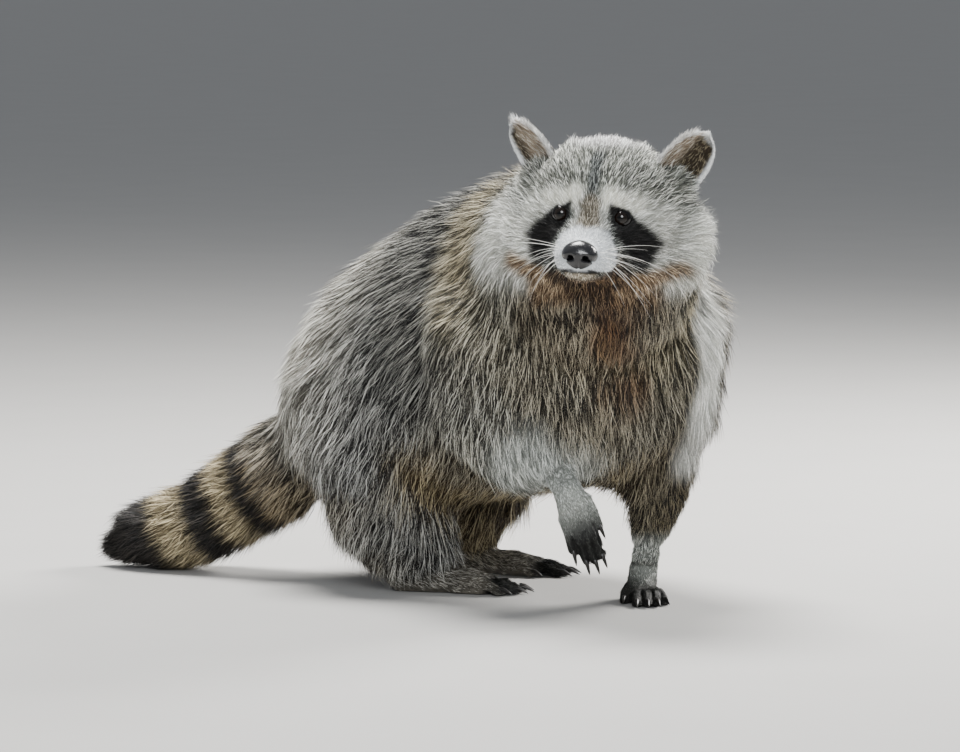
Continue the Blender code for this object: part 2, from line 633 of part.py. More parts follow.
def main():
    """Builds the whole raccoon."""
    clear_scene()
    head_frame = frame(HEAD_CENTRE, HEAD_YAW, HEAD_PITCH, HEAD_ROLL)
    head, trunk = make_flesh(head_frame)

    centre, half = HEAD_CELL
    seat = head_frame @ Matrix.Translation(centre)
    boolean(head, cell_egg(seat, half), "INTERSECT")
    cut_away(trunk, cell_egg(seat, half, GAP))
    make_head_pieces(head_frame, head)

    pieces, wrists = [stand_flat(trunk)], []
    for name, (place, turns, right, fore, lifted) in PAWS.items():
        paw = make_paw(name, frame(Vector(place), *turns), right, fore, lifted)
        point, dip = WRISTS[name]
        down = frame(Vector(point), turns[0] if lifted else 0.0, dip) @ Vector((0, -1, 0)) - Vector(point)
        slice_off(paw, Vector(point) + down * GAP, down)
        paint(stand_flat(paw), DARK if fore else GREY, 0.8)
        wrists.append((Vector(point), -down))
    for name, shape, place, yaw, pitch, half in CELLS:
        piece = carve(trunk, name, shape, frame(Vector(place), yaw, pitch), Vector(half))
        if name in LEG_ENDS:
            slice_off(piece, *wrists[LEG_ENDS.index(name)])
        pieces.append(piece)
    for piece in pieces:
        largest_only(piece)
        paint(piece, TAWNY if "tail" in piece.name else GREY, 0.9)
    paint(largest_only(head), PALE, 0.9)
    settle()


main()
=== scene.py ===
"""Looks of a life-size raccoon: skin, coat, ears, eyes, nose, claws, whiskers and stage.

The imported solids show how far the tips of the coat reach. One skin is made from them,
lying inside them by the coat's depth, and the coat is laid over it as thin tapered
blades gathered in locks. Skin and coat take their colours from one set of markings.
Lengths are metres, and millimetres in the head's own frame and where a name says so.
"""

from __future__ import annotations

import logging
import math
import sys
from dataclasses import dataclass, field
from enum import Enum

import bmesh
import bpy
import numpy as np
from mathutils import Matrix, Vector
from mathutils.bvhtree import BVHTree

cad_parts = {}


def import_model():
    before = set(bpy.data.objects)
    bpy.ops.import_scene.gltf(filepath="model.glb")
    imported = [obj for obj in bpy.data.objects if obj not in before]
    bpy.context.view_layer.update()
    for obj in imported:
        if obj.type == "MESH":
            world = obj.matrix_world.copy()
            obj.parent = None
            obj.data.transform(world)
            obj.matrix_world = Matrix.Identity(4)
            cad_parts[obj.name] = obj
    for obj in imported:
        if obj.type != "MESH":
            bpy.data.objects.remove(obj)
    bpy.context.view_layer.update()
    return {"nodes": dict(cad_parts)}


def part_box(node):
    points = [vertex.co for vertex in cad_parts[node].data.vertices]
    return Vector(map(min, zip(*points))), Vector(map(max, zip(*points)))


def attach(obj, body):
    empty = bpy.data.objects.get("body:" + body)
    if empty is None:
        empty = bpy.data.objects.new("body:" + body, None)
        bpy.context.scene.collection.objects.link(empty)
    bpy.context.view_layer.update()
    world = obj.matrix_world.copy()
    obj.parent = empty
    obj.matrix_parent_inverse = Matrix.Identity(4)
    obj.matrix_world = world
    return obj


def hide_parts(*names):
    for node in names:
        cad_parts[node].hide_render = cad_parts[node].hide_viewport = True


LOG = logging.getLogger("raccoon")
MM = 0.001
SEED = 11
BAKE_MAP = "OFBake"
COLOUR = "coat_colour"
Array = np.ndarray


# ---------------------------------------------------------------- numbers and noise
def unit(vectors: Array) -> Array:
    """Vectors scaled to length one."""
    return vectors / np.maximum(np.linalg.norm(vectors, axis=-1, keepdims=True), 1e-12)


def ramp(low: float, high: float, x: Array) -> Array:
    """A smooth step from 0 at low to 1 at high; low may be the greater."""
    t = np.clip((x - low) / (high - low), 0.0, 1.0)
    return t * t * (3.0 - 2.0 * t)


def tint(red: int, green: int, blue: int) -> Array:
    """A linear colour from screen values of 0 to 255."""
    c = np.array([red, green, blue]) / 255.0
    return np.where(c <= 0.04045, c / 12.92, ((c + 0.055) / 1.055) ** 2.4)


def lattice_noise(points: Array, size: float, seed: int) -> Array:
    """Smooth noise in space.

    Args:
        points: Places, one row each.
        size: The size of its patches, in the same units.
        seed: Which pattern.

    Returns:
        A value from -1 to 1 for each place.
    """
    table = np.random.default_rng(seed).uniform(-1.0, 1.0, 4096)
    scaled = points / size
    cell = np.floor(scaled).astype(np.int64)
    share = scaled - cell
    share = share * share * (3.0 - 2.0 * share)
    total = np.zeros(len(points))
    for corner in range(8):
        step = np.array([corner & 1, corner >> 1 & 1, corner >> 2 & 1])
        key = (cell + step) @ np.array([73856093, 19349663, 83492791])
        weight = np.prod(np.where(step, share, 1.0 - share), axis=1)
        total += weight * table[key % 4096]
    return total


def segment_distance(points: Array, start: Array, end: Array) -> tuple[Array, Array]:
    """How far places are from a straight stretch, and how far along it (0 to 1) they lie.

    Args:
        points: Row places.
        start: One end.
        end: The other end.

    Returns:
        The distances, and the shares of the stretch.
    """
    axis = end - start
    along = np.clip((points - start) @ axis / (axis @ axis), 0.0, 1.0)
    return np.linalg.norm(points - start - along[:, None] * axis, axis=1), along


def dots(a: Array, b: Array) -> Array:
    """The product of each row of one table with the same row of another."""
    return np.einsum("ij,ij->i", a, b)


def flattened(vectors: Array, normals: Array) -> Array:
    """Directions without what points off the surface."""
    return vectors - normals * dots(vectors, normals)[:, None]


def cell_centre(node: str) -> Array:
    """The middle of a node's box."""
    low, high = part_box(node)
    return np.array((low + high) / 2)


def toe_centre(paw: str) -> Array:
    """The middle of a paw's claws."""
    return np.mean([cell_centre(f"claw_{paw}_{k}") for k in range(1, 6)], axis=0)


def digit_gap(paw: str, points: Array) -> Array:
    """How far down in the gap between two digits of a paw places are, from 0 to 1.

    Args:
        paw: The paw's name.
        points: Row places.

    Returns:
        1 in the middle of a gap, 0 off the gaps.
    """
    toes = toe_centre(paw)
    toward = unit(toes - cell_centre(paw))
    reach = 0.032 if paw == "forepaw_right" else 0.020
    ends = [cell_centre(f"claw_{paw}_{k}") for k in range(1, 6)]
    lines = [(end + 0.006 * toward, end - reach * toward) for end in ends]
    away = np.sort([segment_distance(points, *line)[0] for line in lines], axis=0)
    gap = np.exp(-(((away[1] - away[0]) / (1.5 * MM)) ** 2)) * ramp(9.0 * MM, 7.0 * MM, away[1])
    return gap * ramp(-reach, 6.0 * MM - reach, (points - toes) @ toward)


# ---------------------------------------------------------------- meshes as arrays
@dataclass
class Shell:
    """A surface as arrays: places of its corners, and its triangles."""

    points: Array
    triangles: Array

    def normals(self) -> Array:
        """A smooth outward direction at each corner.

        Returns:
            A unit vector for each corner.
        """
        a, b, c = (self.points[self.triangles[:, k]] for k in range(3))
        faces = np.cross(b - a, c - a)
        total = np.zeros_like(self.points)
        for k in range(3):
            for axis in range(3):
                total[:, axis] += np.bincount(self.triangles[:, k], faces[:, axis], len(self.points))
        return unit(total)

    def areas(self) -> Array:
        """The area of each triangle."""
        a, b, c = (self.points[self.triangles[:, k]] for k in range(3))
        return np.linalg.norm(np.cross(b - a, c - a), axis=1) / 2

    def edges(self) -> Array:
        """The two corners of every edge, both ways round.

        Returns:
            A row for each edge and way.
        """
        t = self.triangles
        ends = np.concatenate([t[:, [0, 1]], t[:, [1, 2]], t[:, [2, 0]]])
        return np.concatenate([ends, ends[:, ::-1]])

    def averaged(self, values: Array, times: int, factor: float = 0.5) -> Array:
        """Values at the corners, each drawn towards the mean of its neighbours.

        Args:
            values: A row for each corner.
            times: How many passes.
            factor: How far each goes in a pass.

        Returns:
            The drawn values.
        """
        near, far = self.edges().T
        size = len(self.points)
        count = np.maximum(np.bincount(near, minlength=size), 1)
        out = np.array(values, dtype=float)
        for _ in range(times):
            mean = np.stack([np.bincount(near, column[far], size) for column in out.T], 1)
            out = out * (1.0 - factor) + factor * mean / count[:, None]
        return out

    def bending(self, flow: Array) -> Array:
        """How sharply the surface curves away along a direction, per unit of length.

        Args:
            flow: A direction at each corner.

        Returns:
            A number for each corner, above 0 where the surface is round.
        """
        normals, size = self.normals(), len(self.points)
        near, far = self.edges().T
        step = dots(self.points[far] - self.points[near], flow[near])
        turn = dots(normals[far] - normals[near], flow[near])
        total = np.bincount(near, turn * step, size)
        return total / np.maximum(np.bincount(near, step * step, size), 1e-12)

    def relaxed(self, times: int, factor: float = 0.5) -> Shell:
        """The same surface, smoother."""
        return Shell(self.averaged(self.points, times, factor), self.triangles)

    def flipped(self) -> Shell:
        """The same surface, facing the other way."""
        return Shell(self.points, self.triangles[:, ::-1])

    def tree(self) -> BVHTree:
        """The surface, ready to be asked for its nearest place."""
        return BVHTree.FromPolygons([Vector(p) for p in self.points], self.triangles.tolist())

    def kept(self, corners: Array) -> Shell:
        """Only the triangles whose corners are all marked.

        Args:
            corners: Which corners stay.

        Returns:
            The smaller surface.
        """
        faces = self.triangles[corners[self.triangles].all(1)]
        used, packed = np.unique(faces, return_inverse=True)
        return Shell(self.points[used], packed.reshape(-1, 3))

    @staticmethod
    def joined(shells: list[Shell]) -> Shell:
        """Several surfaces as one.

        Args:
            shells: The surfaces.

        Returns:
            One surface, with their corners in order.
        """
        starts = np.cumsum([0] + [len(s.points) for s in shells[:-1]])
        return Shell(
            np.concatenate([s.points for s in shells]),
            np.concatenate([s.triangles + n for s, n in zip(shells, starts)]),
        )

    @staticmethod
    def read(mesh: bpy.types.Mesh) -> Shell:
        """The arrays of a Blender mesh.

        Args:
            mesh: The mesh.

        Returns:
            Its corners and triangles.
        """
        points = np.empty(len(mesh.vertices) * 3)
        mesh.vertices.foreach_get("co", points)
        mesh.calc_loop_triangles()
        triangles = np.empty(len(mesh.loop_triangles) * 3, dtype=np.int32)
        mesh.loop_triangles.foreach_get("vertices", triangles)
        return Shell(points.reshape(-1, 3), triangles.reshape(-1, 3))

    def merged(self, distance: float = 1e-5) -> Shell:
        """The same surface with its doubled corners made one.

        Args:
            distance: How near doubles are.

        Returns:
            The surface, closed where it was loose triangles.
        """
        keys = np.round(self.points / distance).astype(np.int64)
        _, first, packed = np.unique(keys, axis=0, return_index=True, return_inverse=True)
        triangles = packed.reshape(-1)[self.triangles]
        whole = (triangles[:, 0] != triangles[:, 1]) & (triangles[:, 1] != triangles[:, 2])
        whole &= triangles[:, 2] != triangles[:, 0]
        return Shell(self.points[first], triangles[whole])


def mesh_of(name: str, shell: Shell, colours: Array | None = None, uv: Array | None = None) -> bpy.types.Mesh:
    """A smooth Blender mesh.

    Args:
        name: Its name.
        shell: Its surface.
        colours: A linear colour for each corner point, kept as an attribute.
        uv: A place in the bake map for each corner point.

    Returns:
        The mesh.
    """
    mesh = bpy.data.meshes.new(name)
    count = len(shell.triangles)
    mesh.vertices.add(len(shell.points))
    mesh.vertices.foreach_set("co", shell.points.astype(np.float32).ravel())
    mesh.loops.add(count * 3)
    mesh.loops.foreach_set("vertex_index", shell.triangles.astype(np.int32).ravel())
    mesh.polygons.add(count)
    mesh.polygons.foreach_set("loop_start", np.arange(count, dtype=np.int32) * 3)
    if uv is not None:
        layer = mesh.uv_layers.new(name=BAKE_MAP)
        layer.data.foreach_set("uv", uv[shell.triangles].astype(np.float32).ravel())
    if colours is not None:
        attribute = mesh.attributes.new(COLOUR, "FLOAT_COLOR", "POINT")
        rgba = np.concatenate([colours, np.ones((len(colours), 1))], 1)
        attribute.data.foreach_set("color", rgba.astype(np.float32).ravel())
    mesh.update()
    mesh.validate()
    mesh.shade_smooth()
    return mesh


def place(name: str, mesh: bpy.types.Mesh, material: bpy.types.Material | None = None) -> bpy.types.Object:
    """A finished piece in the scene, at the origin.

    Args:
        name: Its name.
        mesh: Its mesh.
        material: Its finish, or None to keep the mesh's own.

    Returns:
        The object.
    """
    if material is not None:
        mesh.materials.clear()
        mesh.materials.append(material)
    piece = bpy.data.objects.new(name, mesh)
    bpy.context.scene.collection.objects.link(piece)
    return piece


def wire(tree: bpy.types.NodeTree, wires: list[tuple]) -> None:
    """Links nodes: from a node and its output to a node and its input."""
    for start, out, end, into in wires:
        tree.links.new(start.outputs[out], end.inputs[into])


def evaluated_mesh(piece: bpy.types.Object) -> bpy.types.Mesh:
    """The mesh that an object's modifiers make."""
    graph = bpy.context.evaluated_depsgraph_get()
    return bpy.data.meshes.new_from_object(piece.evaluated_get(graph))


def fused(shell: Shell, voxel: float) -> Shell:
    """One closed surface round overlapping ones, made of even cells.

    Args:
        shell: The surfaces, closed and overlapping.
        voxel: The size of the cells.

    Returns:
        The surface round them.
    """
    piece = place("fusing", mesh_of("fusing", shell))
    step = piece.modifiers.new("fuse", "REMESH")
    step.mode, step.voxel_size = "VOXEL", voxel
    result = Shell.read(evaluated_mesh(piece))
    bpy.data.objects.remove(piece)
    return result


def ball(steps: int = 4) -> Shell:
    """A unit ball of even triangles.

    Args:
        steps: How often it is divided.

    Returns:
        The ball.
    """
    bm = bmesh.new()
    bmesh.ops.create_icosphere(bm, subdivisions=steps, radius=1.0)
    mesh = bpy.data.meshes.new("ball")
    bm.to_mesh(mesh)
    bm.free()
    return Shell.read(mesh)


# ---------------------------------------------------------------- the head's own frame
@dataclass(frozen=True)
class HeadFrame:
    """The head's axes in the row frame: x to its left, y back from the nose, z up."""

    origin: Array
    axes: Array
    eye: tuple[float, float, float] = (20.5, -45.5, 15.0)  # where the left eye's centre is
    nose: tuple[float, float, float] = (0.0, -82.0, -6.5)

    @classmethod
    def measured(cls) -> HeadFrame:
        """The frame that the eyes' and nose's solids stand in.

        Returns:
            The head's frame.
        """
        left, right, nose = (cell_centre(n) for n in ("eye_left", "eye_right", "nose"))
        between = (left + right) / 2
        x = unit(left - right)
        ahead = nose - between
        ahead = unit(ahead - x * (ahead @ x))
        side = np.cross(x, ahead)
        dip = math.atan2(cls.eye[2] - cls.nose[2], cls.eye[1] - cls.nose[1])
        z = -math.cos(dip) * side - math.sin(dip) * ahead
        y = math.sin(dip) * side - math.cos(dip) * ahead
        axes = np.stack([x, y, z])
        return cls(between - np.array([0.0, cls.eye[1], cls.eye[2]]) * MM @ axes, axes)

    def inside(self, points: Array) -> Array:
        """Row places as millimetres in the head's frame."""
        return (points - self.origin) @ self.axes.T / MM

    def outside(self, places: Array) -> Array:
        """Millimetres in the head's frame as row places."""
        return np.asarray(places, dtype=float) * MM @ self.axes + self.origin

    def direction(self, vectors: Array) -> Array:
        """Directions in the head's frame as row directions."""
        return np.asarray(vectors, dtype=float) @ self.axes


def mirrored(p: Array) -> Array:
    """Places in the head's frame, with those on its right laid over to its left."""
    return np.concatenate([np.abs(p[:, :1]), p[:, 1:]], 1)


# ---------------------------------------------------------------- what each part wears
class Tone(Enum):
    """The colours that a part's hairs are drawn from: dark, middle and pale."""

    RUMP = ((54, 51, 44), (148, 144, 133), (240, 238, 228))
    FLANK = ((6, 6, 6), (29, 28, 26), (156, 155, 148))
    HAUNCH = ((11, 11, 11), (56, 55, 53), (198, 198, 192))
    CHEST = ((14, 10, 5), (50, 40, 28), (170, 160, 138))
    BELLY = ((30, 20, 10), (72, 58, 36), (178, 164, 130))
    ARM = ((9, 6, 3), (35, 28, 17), (126, 116, 92))
    SHOULDER = ((16, 15, 12), (68, 65, 57), (206, 204, 190))
    WRIST = ((92, 95, 91), (156, 160, 153), (222, 226, 219))
    # pale fur on the left arm's outer side, made paler still as painted rim light
    LEFT_ARM_AND_RIM_LIGHT = ((192, 192, 185), (232, 233, 226), (254, 254, 251))
    FOREARM = ((124, 127, 121), (186, 190, 183), (240, 243, 238))
    PAW = ((6, 6, 5), (26, 26, 24), (66, 67, 63))
    FOOT = ((58, 55, 49), (118, 113, 103), (180, 176, 166))
    NECK = ((30, 27, 19), (88, 81, 62), (204, 193, 164))
    HEAD = ((36, 38, 36), (86, 90, 86), (200, 204, 198))
    TAIL = ((14, 10, 6), (50, 42, 30), (150, 136, 110))
    RING = ((5, 4, 4), (16, 14, 12), (56, 52, 48))
    TAIL_CREAM = ((70, 60, 41), (134, 121, 92), (222, 206, 168))
    TAIL_TAN = ((32, 25, 16), (88, 74, 52), (180, 160, 124))
    RUFF = ((168, 169, 160), (216, 217, 208), (254, 254, 250))
    BROW = ((220, 219, 204), (244, 244, 232), (254, 254, 250))
    MUZZLE = ((200, 204, 206), (230, 235, 238), (252, 254, 255))
    MASK = ((2, 2, 2), (7, 7, 7), (40, 39, 38))
    STRIPE = ((40, 42, 41), (90, 94, 92), (176, 180, 176))
    BRIDGE = ((84, 78, 66), (132, 125, 110), (206, 199, 184))
    CROWN = ((60, 62, 58), (140, 142, 132), (240, 241, 232))
    # pale hair along the top of the head, made paler as painted rim light from behind
    FRINGE_AND_RIM_LIGHT = ((166, 162, 160), (226, 223, 222), (254, 254, 254))
    RUST = ((84, 62, 42), (150, 122, 92), (224, 202, 168))
    THROAT = ((20, 12, 7), (72, 51, 33), (156, 126, 92))
    CHEST_RUST = ((19, 10, 5), (66, 41, 23), (132, 94, 60))
    CHIN = ((120, 110, 94), (176, 166, 146), (226, 218, 200))
    LIP = ((4, 3, 3), (12, 10, 8), (36, 30, 25))
    EAR_IN = ((26, 21, 15), (74, 64, 50), (162, 150, 124))
    EAR_TAN = ((146, 128, 108), (206, 190, 168), (248, 242, 230))
    EAR_RIM = ((226, 228, 228), (246, 248, 248), (254, 254, 254))
    EAR_BACK = ((66, 63, 59), (128, 124, 118), (230, 227, 223))

    def colours(self) -> Array:
        """Dark, middle and pale as linear colours, one row each."""
        return np.stack([tint(*c) for c in self.value])


@dataclass(frozen=True)
class Wear:
    """How the coat is on one part of the body. Lengths in millimetres, angles in degrees."""

    tone: Tone
    depth: float  # from the skin to the outline of the coat
    length: float
    lift: float  # how far the hairs stand off the skin
    width: float
    lock: float  # size of a lock at its roots
    droop: float = 0.0  # how far gravity bends the ends, as a share of the length


WEAR = {
    "head": Wear(Tone.HEAD, 5.0, 12.0, 20.0, 0.29, 2.4),
    "neck": Wear(Tone.NECK, 11.0, 28.0, 18.0, 0.36, 3.4, 0.03),
    "trunk": Wear(Tone.FLANK, 12.5, 33.0, 16.5, 0.37, 3.2, 0.04),
    "upper_arm_left": Wear(Tone.ARM, 10.5, 28.0, 19.5, 0.37, 5.0, 0.06),
    "upper_arm_right": Wear(Tone.SHOULDER, 10.5, 28.0, 19.0, 0.37, 5.0, 0.06),
    "forearm_left": Wear(Tone.ARM, 4.2, 15.0, 16.0, 0.36, 4.0, 0.04),
    "forearm_right": Wear(Tone.FOREARM, 2.4, 7.5, 15.0, 0.32, 2.5, 0.02),
    "thigh_left": Wear(Tone.BELLY, 11.5, 31.0, 18.0, 0.44, 5.0, 0.06),
    "thigh_right": Wear(Tone.HAUNCH, 12.0, 34.0, 18.0, 0.38, 5.0, 0.06),
    "shank_left": Wear(Tone.BELLY, 8.5, 26.0, 16.0, 0.42, 5.0, 0.08),
    "shank_right": Wear(Tone.HAUNCH, 9.5, 32.0, 16.0, 0.38, 5.0, 0.10),
    "tail_base": Wear(Tone.TAIL, 12.5, 27.0, 25.0, 0.42, 4.5, 0.03),
    "tail_middle": Wear(Tone.TAIL, 13.0, 27.0, 26.0, 0.42, 4.5, 0.03),
    "tail_tip": Wear(Tone.TAIL, 12.0, 25.0, 26.0, 0.42, 4.5, 0.03),
    "forepaw_left": Wear(Tone.PAW, 0.5, 3.0, 10.0, 0.26, 1.6),
    "forepaw_right": Wear(Tone.PAW, 0.5, 3.0, 10.0, 0.26, 1.6),
    "hindfoot_left": Wear(Tone.FOOT, 0.7, 4.2, 12.0, 0.30, 1.8),
    "hindfoot_right": Wear(Tone.FOOT, 0.7, 4.2, 12.0, 0.30, 1.8),
}
PARTS = tuple(WEAR)
PAWS = ("forepaw_left", "forepaw_right", "hindfoot_left", "hindfoot_right")
LIMB_OF = {
    "forepaw_left": "forearm_left",
    "forepaw_right": "forearm_right",
    "hindfoot_left": "shank_left",
    "hindfoot_right": "shank_right",
}
SOFT, TIPPED = 0.38, 0.81  # hairs below the first are underfur, above the second pale-tipped
GUARD_LENGTH = 1.12  # how much longer the pale-tipped hairs are
REACH = 24.0 * MM  # a part that is farther than this has no say in a place's wear
BLEND = 7.0 * MM  # how widely one part's wear runs into the next's


class BodyMap:
    """Which parts a place belongs to, from how near their solids are."""

    def __init__(self, nodes: dict[str, bpy.types.Object]) -> None:
        """Reads every flesh solid once.

        Args:
            nodes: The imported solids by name.
        """
        self.shells = {name: Shell.read(nodes[name].data).merged() for name in PARTS}
        self.trees = [shell.tree() for shell in self.shells.values()]
        self.low = np.array([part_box(n)[0] for n in PARTS])
        self.high = np.array([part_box(n)[1] for n in PARTS])

    def away(self, name: str, points: Array, far: float) -> Array:
        """How far places are from a part's solid, where that is less than far.

        Args:
            name: The part's name.
            points: Row places.
            far: The farthest that matters.

        Returns:
            A distance for each place, in metres, at most far.
        """
        k = PARTS.index(name)
        outside = np.maximum(np.maximum(self.low[k] - points, points - self.high[k]), 0.0)
        distance = np.full(len(points), far)
        find = self.trees[k].find_nearest
        for i in np.nonzero(np.linalg.norm(outside, axis=1) < far)[0]:
            distance[i] = min(far, find(Vector(points[i]))[3])
        return distance

    def shares(self, points: Array) -> Array:
        """How much of each part a place is.

        Args:
            points: Row places.

        Returns:
            One row for each place, with the share of each of PARTS, adding up to 1.
        """
        distance = np.stack([self.away(name, points, REACH) for name in PARTS], 1)
        nearest = distance.min(1, keepdims=True)
        weight = np.exp(-(distance - nearest) / BLEND)
        weight[distance >= REACH] = 0.0
        weight += 1e-9
        return weight / weight.sum(1, keepdims=True)


def share_of(shares: Array, *parts: str) -> Array:
    """How much of one or more parts each place is."""
    return shares[:, [PARTS.index(part) for part in parts]].sum(1)


def worn(shares: Array, what: str) -> Array:
    """A number of the wear, blended over the parts."""
    return shares @ np.array([getattr(WEAR[n], what) for n in PARTS])


# ---------------------------------------------------------------- markings
@dataclass(frozen=True)
class Stroke:
    """A soft-edged stroke of one tone through the body, in the row frame's millimetres."""

    tone: Tone
    start: tuple[float, float, float]
    end: tuple[float, float, float]
    radius: float
    edge: float = 10.0
    amount: float = 0.9

    def share(self, points: Array) -> Array:
        """How much of the stroke is at places, from 0 to 1."""
        away, _ = segment_distance(points / MM, np.array(self.start), np.array(self.end))
        return self.amount * ramp(self.radius + self.edge / 2, self.radius - self.edge / 2, away)


BODY_STROKES = (
    Stroke(Tone.FLANK, (-34, -20, 262), (-68, -26, 222), 30.0, 24.0, 0.9),
    Stroke(Tone.FLANK, (-68, -26, 222), (-86, -44, 150), 26.0, 24.0, 0.9),
    Stroke(Tone.NECK, (-34, -64, 282), (-70, -82, 236), 18.0, 12.0),
    Stroke(Tone.NECK, (-70, -82, 236), (-104, -108, 203), 15.0, 12.0, 0.8),
    Stroke(Tone.NECK, (40, -110, 272), (60, -150, 225), 18.0, 14.0, 0.8),
    Stroke(Tone.CHEST_RUST, (-96, -256, 232), (-66, -234, 198), 17.0, 24.0, 0.8),
    Stroke(Tone.CHEST_RUST, (-62, -224, 188), (-24, -206, 152), 14.0, 22.0, 0.7),
    Stroke(Tone.THROAT, (-66, -218, 190), (-42, -194, 150), 6.0, 12.0, 0.9),
    # pale fur down the left arm, partly painted rim light on its outer side
    Stroke(Tone.LEFT_ARM_AND_RIM_LIGHT, (46, -206, 236), (47, -216, 187), 18.0, 14.0),
    Stroke(Tone.LEFT_ARM_AND_RIM_LIGHT, (47, -216, 187), (50, -208, 145), 17.0, 15.0),
    Stroke(Tone.LEFT_ARM_AND_RIM_LIGHT, (50, -208, 145), (52, -194, 102), 16.0, 17.0, 0.8),
    Stroke(Tone.WRIST, (-74, -160, 122), (-66, -166, 108), 11.0, 20.0, 0.6),
)


@dataclass(frozen=True)
class Blot:
    """A soft-edged stroke on both sides of the face, seen from ahead, in its own millimetres."""

    tone: Tone
    start: tuple[float, float]  # outwards and up
    end: tuple[float, float]
    radii: tuple[float, float]  # at its start and at its end
    edge: float = 2.5
    amount: float = 1.0
    back: tuple[float, float] | None = None  # where it ends towards the neck, and where it is full

    def share(self, x: Array, y: Array, z: Array) -> Array:
        """How much of the stroke is at places.

        Args:
            x: How far outwards they are.
            y: How far back.
            z: How far up.

        Returns:
            Shares from 0 to 1.
        """
        flat = np.stack([x, z], 1)
        away, along = segment_distance(flat, np.array(self.start, float), np.array(self.end, float))
        first, last = self.radii
        share = self.amount * ramp(self.edge / 2, -self.edge / 2, away - (first + (last - first) * along))
        return share if self.back is None else share * ramp(*self.back, y)


# The left half of the line of the mouth, from its middle.
MOUTH = np.array([[0, -86, -18.2], [8, -83, -17.6], [14, -75, -18.6], [19, -64, -21.0]], float)
BROW_BLOTS = (
    Blot(Tone.RUFF, (50, 8), (57, -20), (9, 12), 12.0, back=(20.0, 5.0)),
    Blot(Tone.RUFF, (13, 28), (44, 17), (7.5, 8.0), 6.0),
    Blot(Tone.BROW, (11.5, 32), (14, 27), (4.2, 6.0), 4.0),
    Blot(Tone.BROW, (14, 28), (30, 25), (6.0, 6.0), 6.0, 0.7),
)
FACE_BLOTS = (
    Blot(Tone.RUST, (36, -28), (58, -22), (7.0, 6.0), 8.0, 0.95),
    Blot(Tone.RUST, (22, -38), (40, -40), (4.0, 5.0), 9.0, 0.6, (15.0, -5.0)),
    Blot(Tone.STRIPE, (0, 54), (0, 26), (4.5, 3.0), 4.0, back=(-6.0, -18.0)),
    Blot(Tone.BRIDGE, (0, 22), (0, 12), (8.0, 8.5), 5.0),
    Blot(Tone.RUFF, (8.5, 21), (10.5, 11), (2.0, 2.6), 3.0, 0.7),
    Blot(Tone.MASK, (14, 24), (19.5, 17), (2.0, 6.4)),
    Blot(Tone.MASK, (22, 14), (36, -2), (6.8, 10.5), 3.0),
    Blot(Tone.MASK, (35, -3), (37, -9), (10.5, 7.5), 4.0),
    Blot(Tone.MASK, (27, -14), (38, -19), (3.5, 3.0), 6.0, 0.7),
)


